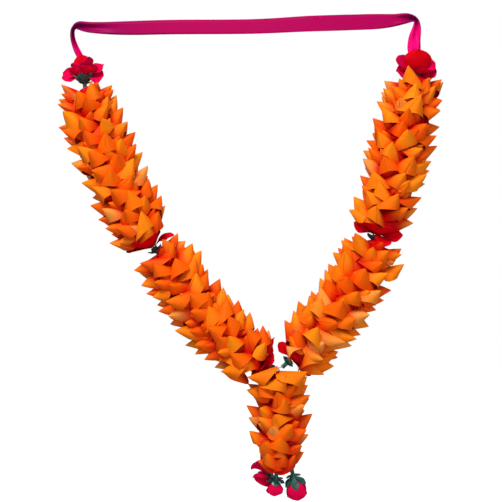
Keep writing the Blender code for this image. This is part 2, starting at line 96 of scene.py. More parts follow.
# Painted shade on darker stretches of the ribbon: distance, spread and depth of the shade. Then
# the distances where its left drop ends and its right drop starts; the drops get painted light.
RIBBON_PAINTED_SHADES = [(0.052, 0.014, 0.85), (0.09, 0.05, 0.45), (0.478, 0.01, 0.9)]
RIBBON_LEFT_DROP = 0.042
RIBBON_RIGHT_DROP = 0.482

# A shaving: a thin sheet rolled to a cone, its mouth cut aslant
SHAVING_THICKNESS = 0.0004
TIP_THICKNESS_SHARE = 0.35
FULL_THICKNESS_SHARE = 0.15
SHAVING_HALF_ANGLE = 27.0
HALF_ANGLE_STRAY = 2.0
SHAVING_SIDE = 0.0355
SHAVING_LONGEST = 0.0385
SHAVING_TIP_START = 0.0004
SHAVING_TURN_CELL = 15.0
SHAVING_TURN_CELLS = 28
SHAVING_ROLL_STEP = 0.0007
SHAVING_RUNGS = (0.0, 0.08, 0.25, 0.5, 0.76, 1.0)
LAYERED_REACH = 0.008
SECTION_FLAT = (0.82, 1.12)
SECTION_WIDE = (0.98, 1.2)
SECTION_POWER = (1.1, 1.7)
MOUTH_TILT = (0.95, 1.75)
MOUTH_SIDE_STRAY = 0.25
LEAST_FACING = 0.3
RIM_WAVE = 0.015
TIP_BEND = 0.0012

# The roll's free edge: radians that curl away, and how far
FREE_EDGE_TURN = 0.9
FREE_EDGE_CURL = 0.0014

# How shavings sit on their strand, and how far each may stray from that. In the crown, the
# strand's first ninth, they stand steeper and nearer the thread.
TIP_REACH = 0.0425
REACH_STRAY = (0.93, 1.03)
SIZE_STRAY = (0.94, 1.06)
SPIRAL_TURN = 137.5
TURN_STRAY = 12.0
DISTANCE_STRAY = 0.003
SHAVING_SLANT = 29.0
SHAVING_FRONT_SLANT = 9.0
SLANT_STRAY = (-14.0, 12.0)
SIDEWAYS_STRAY = 0.24
ROLL_STRAY = 26.0
CROWN_FADE = 9.0
CROWN_SLANT = 12.0
CROWN_PULL = 0.12
SET_CLEARANCE = 0.011
SET_FACING = -0.4

# The inner layer: its number and reach as shares of the outer layer's
INNER_SHARE = 0.75
INNER_REACH = 0.8
INNER_REACH_STRAY = (0.92, 1.05)
INNER_TURN_STRAY = 25.0
INNER_SLANT_STRAY = 6.0

# Strands: string, distance of the first and last tip, number of shavings,
# size at the top, middle and end, roundness of the rolls, and seed
STRANDS = {
    "strand_upper_left": ("left", 0.028, 0.2195, 86, (0.94, 1.05, 1.0), 0.05, 11),
    "strand_lower_left": ("left", 0.258, 0.4195, 78, (0.93, 1.02, 0.97), 0.45, 22),
    "strand_upper_right": ("right", 0.027, 0.1985, 78, (0.95, 1.03, 0.95), 0.05, 13),
    "strand_lower_right": ("right", 0.233, 0.3895, 74, (0.94, 1.04, 0.98), 0.35, 34),
    "strand_pendant": ("pendant", 0.008, 0.106, 48, (0.98, 0.96, 0.68), 0.7, 15),
}

# Shavings set one by one: tip, direction from the mouth to the tip, size, and tone from 0,
# reddest dye, to 1, a tan that is a painted highlight
SET_SHAVINGS = {
    "strand_upper_left": (
        ((-0.2251, -0.016, -0.0802), (-0.71, -0.14, 0.69), 0.9, 0.93),
        ((-0.1861, -0.034, -0.0807), (0.0, -0.64, 0.77), 0.98, 0.6),
        ((-0.1665, -0.022, -0.0958), (0.3, -0.5, 0.81), 0.75, 0.6),
        ((-0.1588, 0.0, -0.0912), (0.45, -0.09, 0.89), 0.75, 0.9),
        ((-0.2007, -0.024, -0.0915), (-0.48, -0.5, 0.72), 0.8, 0.75),
        ((-0.1547, -0.02, -0.277), (-0.92, -0.26, -0.29), 0.6, 0.9),
        ((-0.1412, -0.03, -0.2479), (-0.4, -0.69, 0.6), 0.78, 0.7),
        ((-0.1173, -0.036, -0.2539), (0.03, -0.74, 0.67), 0.76, 0.7),
    ),
    "strand_lower_left": (
        ((-0.0985, -0.03, -0.2722), (-0.34, -0.68, 0.65), 0.95, 0.5),
        ((-0.0733, -0.006, -0.2726), (0.69, -0.17, 0.7), 0.85, 0.9),
        ((-0.0634, -0.014, -0.2764), (0.39, -0.31, 0.87), 1.0, 0.6),
        ((-0.0536, -0.01, -0.285), (0.49, -0.21, 0.85), 0.9, 0.6),
        ((-0.137, -0.008, -0.3098), (-0.96, -0.26, -0.12), 1.0, 0.6),
        ((-0.128, -0.01, -0.3284), (-0.93, -0.26, -0.27), 0.95, 0.6),
        ((-0.0085, -0.02, -0.4251), (0.07, -0.69, 0.72), 0.92, 0.25),
        ((-0.0034, -0.03, -0.4106), (0.47, -0.62, 0.63), 0.85, 0.7),
        ((0.0015, -0.034, -0.415), (-0.22, -0.67, 0.71), 0.9, 0.6),
        ((0.027, -0.034, -0.398), (0.46, -0.56, 0.69), 0.6, 0.8),
        ((0.0088, -0.026, -0.4134), (0.15, -0.64, 0.75), 0.74, 0.5),
        ((0.0173, -0.022, -0.4175), (0.26, -0.5, 0.83), 0.66, 0.4),
        ((0.0319, 0.002, -0.3852), (0.3, -0.09, 0.95), 0.8, 1.0),
    ),
    "strand_upper_right": (
        ((0.1993, -0.038, -0.061), (-0.22, -0.59, 0.78), 1.0, 0.6),
        ((0.209, -0.04, -0.0826), (0.12, -0.56, 0.82), 0.95, 0.8),
        ((0.2233, -0.03, -0.0744), (0.03, -0.53, 0.85), 0.85, 0.5),
        ((0.2459, -0.008, -0.0729), (0.79, -0.17, 0.59), 0.88, 0.6),
        ((0.1813, -0.026, -0.0837), (-0.69, -0.41, 0.6), 0.9, 0.5),
        ((0.1709, 0.0, -0.0875), (-0.85, -0.09, 0.53), 0.8, 0.97),
        ((0.1296, -0.016, -0.2349), (-0.84, -0.17, 0.51), 0.62, 0.6),
        ((0.1604, -0.038, -0.2312), (0.0, -0.79, 0.62), 0.9, 0.6),
    ),
    "strand_lower_right": (
        ((0.1352, -0.036, -0.2632), (-0.32, -0.68, 0.66), 1.12, 0.6),
        ((0.1567, -0.036, -0.2806), (0.07, -0.74, 0.67), 0.86, 0.6),
        ((0.1959, -0.01, -0.2918), (0.99, -0.1, 0.05), 0.95, 0.6),
        ((0.1982, -0.008, -0.3012), (0.74, -0.14, 0.65), 0.9, 0.6),
        ((0.1201, -0.012, -0.2726), (-0.69, -0.21, 0.69), 0.85, 0.6),
        ((0.0507, -0.034, -0.4022), (-0.73, -0.24, 0.64), 0.56, 1.0),
        ((0.0563, -0.03, -0.3898), (-0.41, -0.56, 0.72), 0.72, 0.6),
        ((0.0758, -0.03, -0.4093), (-0.25, -0.57, 0.78), 0.85, 0.7),
        ((0.1176, -0.006, -0.4119), (0.94, -0.17, 0.3), 0.9, 0.6),
        ((0.112, -0.006, -0.4293), (0.98, -0.17, 0.0), 0.85, 0.5),
        ((0.0997, -0.012, -0.4391), (0.86, -0.26, -0.43), 0.8, 0.6),
    ),
    "strand_pendant": (
        ((0.0039, -0.032, -0.4402), (-0.98, -0.17, 0.08), 1.04, 0.5),
        ((0.0775, -0.032, -0.4337), (0.85, -0.21, 0.49), 1.0, 0.55),
        ((0.0406, -0.024, -0.4339), (-0.08, -0.53, 0.84), 0.85, 0.5),
        ((0.0519, -0.04, -0.4364), (0.49, -0.5, 0.71), 1.0, 0.6),
        ((0.0294, -0.034, -0.4441), (-0.33, -0.74, 0.58), 0.9, 0.6),
        ((0.0032, -0.012, -0.457), (-0.94, -0.17, 0.3), 0.85, 0.6),
        ((0.0787, -0.012, -0.4515), (0.75, -0.26, 0.6), 0.85, 0.6),
        ((0.0453, -0.03, -0.5263), (0.08, -0.64, 0.76), 0.62, 0.7),
        ((0.0405, -0.026, -0.5443), (-0.16, -0.62, 0.77), 0.55, 0.75),
        ((0.0743, -0.012, -0.535), (0.83, -0.26, 0.49), 0.72, 0.6),
        ((0.0162, -0.014, -0.5457), (-0.89, -0.26, 0.37), 0.72, 0.6),
        ((0.0271, -0.028, -0.5341), (-0.34, -0.67, 0.66), 0.8, 0.6),
        ((0.049, -0.03, -0.5361), (0.14, -0.72, 0.68), 0.74, 0.5),
        ((0.064, -0.022, -0.5366), (0.47, -0.53, 0.71), 0.84, 0.7),
        ((0.0149, -0.01, -0.5168), (-0.9, -0.17, 0.4), 0.8, 0.9),
    ),
}

# Sepals that both flowers at the junction have
JUNCTION_SEPALS = [
    (90, 56, 10, 0.0075), (162, 56, 10, 0.0075), (18, 56, 10, 0.0075),
    (234, 20, 10, 0.01), (306, 20, 10, 0.01),
]

# Flowers on a string: string, distance of the hub, petals and sepals. A petal has its azimuth,
# lift, curl, length, width, roll about its own length, and how pointed it is. A sepal has its
# azimuth, lift, curl and length. Azimuth 0 is the string's right side and 90 the front.
STRUNG_FLOWERS = {
    "top_left": ("left", 0.0235, [
        (86, 72, 10, 0.0275, 0.0225, 0, 0.0), (50, 52, 16, 0.026, 0.024, -20, 0.2),
        (180, 14, 10, 0.024, 0.02, 58, 0.0), (165, -4, 6, 0.0245, 0.021, 55, 0.5),
        (2, 30, 6, 0.027, 0.021, -50, 0.8), (10, -4, 6, 0.0225, 0.027, -60, 0.1),
        (50, 12, 48, 0.02, 0.027, 0, 0.0), (92, 10, 50, 0.019, 0.027, 0, 0.0),
        (136, 12, 48, 0.02, 0.027, 0, 0.0), (140, 44, 20, 0.021, 0.022, 0, 0.0),
        (266, 66, 12, 0.029, 0.02, 0, 0.0), (225, 46, 20, 0.024, 0.019, 0, 0.2),
    ], [
        (100, 42, 12, 0.016), (146, 30, 16, 0.0165), (36, 40, 10, 0.0165),
        (68, 40, 12, 0.013), (124, 36, 12, 0.013),
        (240, 18, 20, 0.0115), (312, 14, 20, 0.0115),
    ]),
    "top_right": ("right", 0.0235, [
        (84, 45, 38, 0.0318, 0.0345, 0, 0.0), (4, 42, 10, 0.026, 0.029, -60, 0.0),
        (14, 4, 10, 0.024, 0.029, -60, 0.0), (180, 43, 12, 0.0285, 0.027, 55, 0.15),
        (164, 0, 10, 0.0225, 0.025, 55, 0.2), (56, -8, 26, 0.022, 0.028, 0, 0.0),
        (124, -4, 30, 0.021, 0.027, 0, 0.0), (58, -30, -6, 0.0235, 0.025, -10, 0.0),
        (250, 62, 12, 0.028, 0.023, 0, 0.1), (300, 54, 16, 0.027, 0.022, 0, 0.2),
        (215, 30, 22, 0.025, 0.02, 0, 0.2),
    ], [
        (88, 50, 16, 0.0165), (150, 40, 16, 0.0165), (34, 40, 16, 0.0155),
        (240, 18, 20, 0.0115), (312, 14, 20, 0.0115),
    ]),
    "mid_left": ("left", 0.2545, [
        (90, 40, 20, 0.025, 0.028, 0, 0.0), (130, 33, 14, 0.028, 0.027, 0, 0.1),
        (46, 38, 14, 0.023, 0.025, 0, 0.1), (178, 23, 10, 0.031, 0.019, 20, 0.5),
        (2, 16, -50, 0.0275, 0.015, -40, 0.8), (222, 30, 12, 0.028, 0.026, 0, 0.2),
        (298, 30, 10, 0.025, 0.026, 0, 0.2),
    ], [
        (90, 34, 16, 0.0095), (164, 30, 16, 0.01), (20, 24, 16, 0.0095),
        (236, 24, 16, 0.0095), (308, 24, 16, 0.0095),
    ]),
    "mid_right": ("right", 0.23, [
        (176, 8, 8, 0.029, 0.02, 60, 0.0), (56, -26, -14, 0.0225, 0.0235, -15, 0.0),
        (4, 13, 8, 0.0305, 0.02, -55, 0.6), (10, 2, 8, 0.027, 0.017, -55, 0.7),
        (95, 34, 16, 0.023, 0.028, 0, 0.0), (130, 22, 12, 0.025, 0.026, 0, 0.1),
        (48, 24, 12, 0.025, 0.026, 0, 0.1), (235, 30, 10, 0.026, 0.025, 0, 0.2),
        (298, 30, 10, 0.026, 0.025, 0, 0.2),
    ], [
        (104, 26, 10, 0.011), (150, 28, 10, 0.012), (30, 20, 10, 0.009),
        (236, 20, 10, 0.01), (308, 20, 10, 0.01),
    ]),
    "junction_left": ("left", 0.457, [
        (4, -3, 0, 0.0325, 0.009, 30, 0.2), (350, 12, 0, 0.0315, 0.01, 40, 0.2),
        (50, -42, -10, 0.016, 0.023, 0, 0.0), (118, -42, -10, 0.016, 0.023, 0, 0.0),
        (84, -4, 6, 0.021, 0.025, 0, 0.1), (135, 14, 0, 0.022, 0.022, 0, 0.1),
        (186, 10, 8, 0.023, 0.019, 30, 0.2), (250, 20, 8, 0.025, 0.022, 0, 0.2),
        (300, 20, 8, 0.025, 0.022, 0, 0.2),
    ], JUNCTION_SEPALS),
    "junction_right": ("right", 0.421, [
        (180, 4, 8, 0.023, 0.017, 55, 0.0), (0, 6, 6, 0.029, 0.015, -35, 0.3),
        (60, 20, 8, 0.022, 0.025, 0, 0.2), (120, 20, 8, 0.02, 0.024, 0, 0.2),
        (235, 20, 8, 0.025, 0.022, 0, 0.2), (300, 20, 8, 0.025, 0.022, 0, 0.2),
    ], JUNCTION_SEPALS),
}

# Flowers below the pendant: hub, opening direction, petals and sepals
HANGING_FLOWERS = {
    "pendant_right": ((0.061, -0.01, -0.565), (0.2, 0.4, -0.9), (
        (90, 34, 64, 0.0275, 0.024, 0, 0.0), (172, 42, 56, 0.027, 0.021, 0, 0.1),
        (8, 42, 56, 0.027, 0.021, 0, 0.1), (270, 36, 60, 0.028, 0.023, 0, 0.1),
    ), (
        (90, 30, 46, 0.016), (18, 20, 46, 0.015), (162, 20, 46, 0.0165),
        (234, 10, 30, 0.0115), (306, 10, 30, 0.0115),
    )),
    "pendant_middle": ((0.04, -0.004, -0.568), (-0.1, 0.1, -0.99), (
        (92, 30, 80, 0.02, 0.019, 0, 0.0), (212, 45, 60, 0.02, 0.017, 0, 0.1),
        (332, 45, 60, 0.02, 0.017, 0, 0.1),
    ), (
        (90, 30, 30, 0.01), (10, 14, 24, 0.01), (170, 14, 24, 0.01),
        (234, 0, 20, 0.0115), (306, 0, 20, 0.0115),
    )),
    "pendant_left": ((0.03, 0.014, -0.564), (-0.45, 0.1, -0.88), (
        (42, -34, 4, 0.0255, 0.025, -50, 0.0), (60, 14, 4, 0.016, 0.027, -32, 0.0),
        (84, 40, 30, 0.015, 0.025, 0, 0.0), (180, 24, 30, 0.02, 0.019, 40, 0.1),
        (270, 20, 30, 0.021, 0.019, 0, 0.1),
    ), (
        (120, 20, 30, 0.008), (200, 10, 20, 0.009), (162, 0, 20, 0.01),
        (234, 0, 20, 0.0115), (306, 0, 20, 0.0115),
    )),
}

# Petals: where they start from the hub, the layers they lie in, and their cup, ruffle and rib
HUB_LIFT = 0.003
PETAL_THICKNESS = 0.00035
PETAL_CELLS = (16, 12)
PETAL_START = 0.003
PETAL_RISE = 0.0008
PETAL_LAYER = 0.0004
PETAL_LAYERS = 4
PETAL_SHAPING = (0.2, 0.0013, 0.0003)

# Inner petals: number, length and width on a flower of either kind
INNER_PETALS = (7, 0.015, 0.015)
HANGING_INNER_PETALS = (4, 0.008, 0.008)
INNER_PETAL_START = 0.0026
INNER_PETAL_TURN = 36.0
INNER_PETAL_LIFT = 42.0
INNER_PETAL_CURL = 30.0
INNER_PETAL_ROLL = 20.0
INNER_PETAL_POINT = 0.2
INNER_PETAL_SHAPING = (0.25, 0.001, 0.0002)

# Calyx: its sepals, on a flower of either kind, and its cup and tube
SEPAL_WIDTH = 0.0098
SEPAL_ROOT = -0.004
HANGING_SEPAL_WIDTH = 0.0096
HANGING_SEPAL_ROOT = 0.0016
SEPAL_THICKNESS = 0.0008
SEPAL_CELLS = (10, 6)
SEPAL_START = 0.0024
SEPAL_ROLL = 8.0
SEPAL_SHAPING = (0.18, 0.0003, -0.0005)
CUP_RIM = 0.0004
CUP_LIP_RADIUS = 0.004
CUP_RADIUS = 0.0046
CUP_HEIGHT = 0.0042
TUBE_RADIUS = 0.0026
TUBE_LENGTH = 0.011
TUBE_BORE_RADIUS = 0.0017
TURNED_CELLS = 24
CALYX_CREASE = 35.0

# A leaf's finer shape: waves of its outline and of its ruffled rims and end, its rib, and how
# soon its roll is full
OUTLINE_WAVE = 0.05
OUTLINE_WAVES = 9.0
OTHER_SIDE_PHASE = 2.1
RUFFLE_WAVES = 1.7
END_RUFFLE = 0.6
END_WAVES = 4.0
RIB_SPREAD = 0.16
ROLL_RISE = 1.6
LEAST_BEND = 0.001

# Each leaf's and shaving's flat coordinates start at a place of their own, up to this far from
# 0. Rings and tubes have a plain tone.
FLAT_SHIFT = 5.0
PLAIN_TONE = (0.5, 0.5, 0.0, 0.0)

# Threads: plies twisted round each other, windings on the ribbon's ends, and the pendant's
# ring, knot and ties
PLY_COUNT = 2
PLY_RADIUS = 0.00033
PLY_REACH = 0.0003
PLY_SIDES = 6
PLY_PITCH = 0.003
PLY_STEPS_A_TURN = 7
THREAD_START = 0.01
THREAD_CORNER = 0.004
WINDING_DISTANCE = 0.004
WINDING_RADIUS = 0.004
WINDING_TURNS = 4
WINDING_LENGTH = 0.0036
WINDING_STEPS = 16
RING_RADIUS = 0.0021
RING_DROP = 0.0003
RING_AXIS = (1.0, 0.0, 0.2)
RING_TURNS = 2
RING_LENGTH = 0.001
KNOT_REACH = 0.0016
KNOT_STEPS = 48
TIE_GAP = 0.001
TIE_DEPTH = 0.005
THREAD_CREASE = 60.0
FIRST_SIDE = (0.31, 0.87, 0.38)

# Colours of the shavings, the ribbon, the petals, the calyxes, the threads and the surroundings
DYE_ORANGE = (0.92, 0.115, 0.0)
DYE_YELLOW = (0.96, 0.245, 0.004)
DYE_RED = (0.9, 0.095, 0.0)
# Painted highlight: the tan on some shavings stands for faces lit from above and tips lit from
# behind.
TAN_PAINTED_HIGHLIGHT = (0.88, 0.3, 0.052)
DYE_GRAIN = (0.8, 0.12, 0.0)
# Painted shade: deep red on the shavings towards the thread, inside the strand.
CORE_PAINTED_SHADE = (0.6, 0.0015, 0.0)
# Painted shade: darker red on the shavings' inner faces.
INSIDE_PAINTED_SHADE = (0.54, 0.002, 0.0)
SATIN_DARK = (0.33, 0.0, 0.066)
SATIN_LIGHT = (0.38, 0.0, 0.08)
# Painted light: the brighter pink of the ribbon's drops.
SATIN_DROP_PAINTED_LIGHT = (0.8, 0.002, 0.17)
# Painted shade: the ribbon's darker stretches.
SATIN_PAINTED_SHADE = (0.17, 0.0, 0.07)
PETAL_RED = (0.68, 0.0, 0.002)
PETAL_WARM = (0.72, 0.0, 0.008)
PETAL_PINK = (0.68, 0.0, 0.055)
PETAL_CRIMSON = (0.62, 0.0, 0.006)
PETAL_ROSE = (0.62, 0.0, 0.055)
# Painted shade: darker red on the petals towards the hub.
PETAL_HUB_PAINTED_SHADE = (0.38, 0.0, 0.002)
PETAL_RIM = (0.36, 0.0, 0.025)
GREEN_DARK = (0.0, 0.05, 0.042)
GREEN_LIGHT = (0.004, 0.11, 0.085)
COTTON_DARK = (0.62, 0.55, 0.45)
COTTON_LIGHT = (0.8, 0.75, 0.66)
COTTON_STAIN = (0.72, 0.36, 0.14)
FLOOR_GREY = (0.93, 0.93, 0.93)
WHITE = (1.0, 1.0, 1.0)

# View of the photograph, and the floor
FRAME_WIDTH = 0.6275
FRAME_CENTRE = (0.00875, -0.28625)
CAMERA_DISTANCE = 1.2
SENSOR_WIDTH = 36.0
FLOOR_HEIGHT = -0.95
FLOOR_HALF = 4.0
FLOOR_GLOW = 0.75

# Soft square lights: place, target, size and power
LIGHTS = {
    "key": ((-0.45, -1.0, 0.85), (0.0, 0.0, -0.38), 0.6, 24.5),
    "fill": ((0.4, -1.7, -0.6), (0.0, 0.0, -0.52), 1.2, 11.2),
}
WORLD_LIGHT = 0.36


def spline_point(before, start, end, after, share):
    """Catmull-Rom point between start and end."""
    square = share * share
    cube = square * share
    return 0.5 * (
        2.0 * start
        + (end - before) * share
        + (2.0 * before - 5.0 * start + 4.0 * end - after) * square
        + (3.0 * start - before - 3.0 * end + after) * cube
    )


def smooth_route(knots, spacing):
    """Points of a smooth curve through knots, about a spacing apart in the XZ plane."""
    padded = [2.0 * knots[0] - knots[1]] + knots + [2.0 * knots[-1] - knots[-2]]
    points = [knots[0]]
    for index in range(1, len(padded) - 2):
        ahead = padded[index + 1] - padded[index]
        steps = max(2, round(hypot(ahead.x, ahead.z) / spacing))
        for step in range(1, steps + 1):
            points.append(spline_point(*padded[index - 1:index + 3], step / steps))
    return points


def distances_along(points):
    """Distance of each point along its route."""
    return np.concatenate([[0.0], np.cumsum(np.linalg.norm(np.diff(points, axis=0), axis=1))])


def unit(vectors):
    """Vectors of an array brought to length 1."""
    return vectors / np.maximum(np.linalg.norm(vectors, axis=-1, keepdims=True), 1e-12)


def upright_frame(place, up):
    """Matrix at a place with +Z along up, +X to its right and -Y to the front."""
    right = FRONT.cross(-up).normalized()
    back = up.cross(right)
    return Matrix.Translation(place) @ Matrix((right, back, up)).transposed().to_4x4()


def set_at(grid, matrix):
    """Points moved from a matrix's own axes to its place."""
    return grid @ matrix[:3, :3].T + matrix[:3, 3]


class StringLine:
    """A smooth string in the XZ plane, measured by distance from its upper end."""

    def __init__(self, route):
        self.points = smooth_route([Vector((x, 0.0, z)) for x, z in route], SMOOTH_STEP)
        self.reach = [0.0]
        for first, second in zip(self.points, self.points[1:]):
            self.reach.append(self.reach[-1] + (second - first).length)
        self.length = self.reach[-1]

    def point(self, distance):
        """Point at a distance down the string, carried straight on past its ends."""
        inside = min(max(distance, 0.0), self.length)
        index = max(1, bisect_left(self.reach, inside))
        span = self.reach[index] - self.reach[index - 1]
        share = (inside - self.reach[index - 1]) / span
        here = self.points[index - 1].lerp(self.points[index], share)
        return here + self.down(inside) * (distance - inside)

    def nearest(self, place):
        """The string's point nearest to a place."""
        return min(self.points, key=lambda point: (point - place).length_squared)

    def down(self, distance):
        """Unit direction down the string at a distance."""
        inside = min(max(distance, DIRECTION_REACH), self.length - DIRECTION_REACH)
        ahead = self.sample(inside + DIRECTION_REACH)
        behind = self.sample(inside - DIRECTION_REACH)
        return (ahead - behind).normalized()

    def sample(self, distance):
        """First sampled point at or beyond a distance, or the last one."""
        return self.points[min(bisect_left(self.reach, distance), len(self.points) - 1)]

    def frame(self, distance):
        """Matrix with +Z up the string, +X to its right and -Y to the front."""
        return upright_frame(self.point(distance), -self.down(distance))


STRINGS = {
    "left": StringLine(LEFT_ROUTE + [JUNCTION]),
    "right": StringLine(RIGHT_ROUTE + [JUNCTION]),
    "pendant": StringLine(PENDANT_ROUTE),
}


def three_point(values, share):
    """Smooth value through top, middle and end values."""
    top, middle, end = values
    if share < 0.5:
        return top + (middle - top) * sin(pi * share)
    return end + (middle - end) * sin(pi * share)


def stray(draw, reach):
    """Random number up to a reach to either side of 0."""
    return draw.uniform(-reach, reach)


class MeshPile:
    """Sheets, rings and tubes gathered into one mesh with its tones and flat coordinates."""

    def __init__(self):
        self.points = []
        self.faces = []
        self.flats = []
        self.tones = []
        self.count = 0

    def add(self, points, faces, flat, tones=None):
        """Add points, faces that count from 0, flat coordinates and, if not plain, tones."""
        self.points.append(points)
        self.faces.append(faces + self.count)
        self.flats.append(flat)
        self.tones.append(np.tile(PLAIN_TONE, (len(points), 1)) if tones is None else tones)
        self.count += len(points)

    def add_sheet(self, grid, flat, tone, thickness):
        """Add a grid of points as a closed thin sheet. Its front faces along the cross product
        of its second direction and its first. The alpha of its tone is 1 at the back."""
        normal = unit(np.cross(np.gradient(grid, axis=1), np.gradient(grid, axis=0)))
        offset = normal * (0.5 * thickness)[..., None]
        points = np.concatenate([(grid + offset).reshape(-1, 3), (grid - offset).reshape(-1, 3)])
        rows, columns = grid.shape[:2]
        size = rows * columns
        index = np.arange(size).reshape(rows, columns)
        corners = [index[:-1, :-1], index[:-1, 1:], index[1:, 1:], index[1:, :-1]]
        front = np.stack(corners, axis=-1).reshape(-1, 4)
        back = front[:, ::-1] + size
        border = np.concatenate([index[0, :], index[1:, -1], index[-1, -2::-1], index[-2:0:-1, 0]])
        after = np.roll(border, -1)
        rim = np.stack([after, border, border + size, after + size], axis=-1)
        faces = np.concatenate([front, back, rim])
        inside = np.concatenate([np.zeros(size), np.ones(size)])
        tones = np.concatenate([tone.reshape(-1, tone.shape[-1])] * 2)
        flats = np.concatenate([flat.reshape(-1, 2)] * 2)
        self.add(points, faces, flats, np.column_stack([tones, inside]))

    def add_turned(self, profile, matrix):
        """Add a closed ring turned from a closed profile of radius and height."""
        turn = np.arange(TURNED_CELLS)[:, None] * (2.0 * pi / TURNED_CELLS)
        radius, height = np.array(profile).T
        places = np.broadcast_arrays(radius * np.cos(turn), radius * np.sin(turn), height)
        points = set_at(np.stack(places, axis=-1).reshape(-1, 3), matrix)
        index = np.arange(len(points)).reshape(TURNED_CELLS, -1)
        ahead = np.roll(index, -1, axis=0)
        corners = [index, ahead, np.roll(ahead, -1, axis=1), np.roll(index, -1, axis=1)]
        flat = np.stack(np.broadcast_arrays(turn * TUBE_RADIUS, height), axis=-1)
        self.add(points, np.stack(corners, axis=-1).reshape(-1, 4), flat.reshape(-1, 2))

    def make(self, name, material, node, slot, crease=50.0):
        """The finished piece, smooth with sharp rims, in place of its CAD node."""
        mesh = bpy.data.meshes.new(name)
        points, faces = np.concatenate(self.points), np.concatenate(self.faces)
        mesh.from_pydata(points.tolist(), [], faces.tolist())
        tones = np.concatenate(self.tones).astype(np.float32)
        tone = mesh.color_attributes.new("tone", "FLOAT_COLOR", "POINT")
        tone.data.foreach_set("color", tones.ravel())
        flats = np.concatenate(self.flats).astype(np.float32)
        layer = mesh.uv_layers.new(name="sheet")
        corners = np.empty(len(mesh.loops), dtype=np.int32)
        mesh.loops.foreach_get("vertex_index", corners)
        layer.data.foreach_set("uv", flats[corners].ravel())
        mesh.shade_smooth()
        mesh.set_sharp_from_angle(angle=radians(crease))
        mesh.materials.append(material)
        piece = new_object(name, mesh)
        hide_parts(node)
        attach(piece, BODY)
        return piece


def pressed_section(angle, roundness, draw):
    """Share of the round radius at each angle for a roll pressed between its neighbours: wide at
    its sides, flatter at its outer and inner faces, with a soft ridge down their middles."""
    flat = draw.uniform(*SECTION_FLAT)
    wide = draw.uniform(*SECTION_WIDE)
    power = draw.uniform(*SECTION_POWER) + roundness
    outer = np.abs(np.cos(angle) / flat) ** power
    side = np.abs(np.sin(angle) / wide) ** power
    return (outer + side) ** (-1.0 / power)


def rolled_sheet(draw, size, roundness):
    """Middle sheet of one shaving in its own axes: tip at the origin, mouth towards -Z, outer
    side towards +X. Gives the grid, the unrolled coordinates and the share from tip to mouth."""
    cell = radians(SHAVING_TURN_CELL)
    start = cell * draw.randrange(round(360.0 / SHAVING_TURN_CELL))
    turn = cell * np.arange(SHAVING_TURN_CELLS + 1)
    angle = start + turn
    spread = tan(radians(SHAVING_HALF_ANGLE + stray(draw, HALF_ANGLE_STRAY)))
    opening = spread * pressed_section(angle, roundness, draw)
    ray = np.stack([opening * np.cos(angle), opening * np.sin(angle), -np.ones_like(angle)], axis=1)
    stretch = np.linalg.norm(ray, axis=1)
    mouth_tilt = draw.uniform(*MOUTH_TILT)
    mouth_side = stray(draw, MOUTH_SIDE_STRAY)
    facing = 1.0 + mouth_tilt * opening * np.cos(angle) + mouth_side * opening * np.sin(angle)
    level = SHAVING_SIDE * cos(atan(spread))
    side = level * stretch / np.maximum(facing, LEAST_FACING)
    side = size * np.minimum(side, SHAVING_LONGEST)
    side *= 1.0 + RIM_WAVE * np.sin(3.0 * angle + draw.uniform(0.0, 6.0))
    ray /= stretch[:, None]
    rungs = np.array(SHAVING_RUNGS)
    reach = SHAVING_TIP_START + (side[:, None] - SHAVING_TIP_START) * rungs[None, :]
    grid = ray[:, None, :] * reach[..., None]
    radial = np.stack([np.cos(angle), np.sin(angle), np.zeros_like(angle)], axis=1)
    lift = SHAVING_ROLL_STEP * (turn / (2.0 * pi))
    free_edge = np.clip((turn - (turn[-1] - FREE_EDGE_TURN)) / FREE_EDGE_TURN, 0.0, 1.0) ** 2
    curl = draw.uniform(0.0, FREE_EDGE_CURL)
    away = lift[:, None] * np.minimum(1.0, reach / LAYERED_REACH)
    away += curl * free_edge[:, None] * (reach / SHAVING_SIDE) ** 2
    grid += radial[:, None, :] * away[..., None]
    bend = np.array([stray(draw, TIP_BEND), stray(draw, TIP_BEND), 0.0])
    grid += bend * ((1.0 - rungs) ** 2)[None, :, None]
    steps = np.arccos(np.clip(np.sum(ray[1:] * ray[:-1], axis=1), -1.0, 1.0))
    unrolled = np.concatenate([[0.0], np.cumsum(steps)])
    grain_turn = draw.uniform(0.0, pi)
    shift = np.array([draw.uniform(0.0, FLAT_SHIFT), draw.uniform(0.0, FLAT_SHIFT)])
    flat = np.stack([
        reach * np.cos(unrolled + grain_turn)[:, None],
        reach * np.sin(unrolled + grain_turn)[:, None],
    ], axis=-1) + shift
    share = np.broadcast_to(rungs[None, :], reach.shape)
    return grid, flat, share


def add_shaving(pile, draw, place, line_axis, size, roundness, dye_and_highlight=None):
    """Roll one shaving and set it on its strand. line_axis gives the thread's point and up."""
    grid, flat, share = rolled_sheet(draw, size, roundness)
    grid = set_at(grid, np.array(place))
    origin, up = line_axis
    offset = grid - origin
    offset -= np.outer(offset.reshape(-1, 3) @ up, up).reshape(grid.shape)
    # Share of the reach from the thread, the mask of the painted shade towards the thread.
    depth = np.clip(np.linalg.norm(offset, axis=2) / TIP_REACH, 0.0, 1.0)
    drawn = draw.random()
    pick = np.full(share.shape, drawn if dye_and_highlight is None else dye_and_highlight)
    tone = np.stack([pick, share, depth], axis=-1)
    full = np.minimum(1.0, share / FULL_THICKNESS_SHARE)
    thickness = SHAVING_THICKNESS * (TIP_THICKNESS_SHARE + (1.0 - TIP_THICKNESS_SHARE) * full)
    pile.add_sheet(grid, flat, tone, thickness)


def place_on_axis(tip, direction, outward, roll):
    """Matrix with +Z along a direction and +X towards the outer, lower side."""
    side = outward.cross(direction).normalized()
    outer = direction.cross(side)
    turn = Matrix((outer, -side, direction)).transposed()
    return Matrix.Translation(tip) @ turn.to_4x4() @ Matrix.Rotation(roll, 4, "Z")


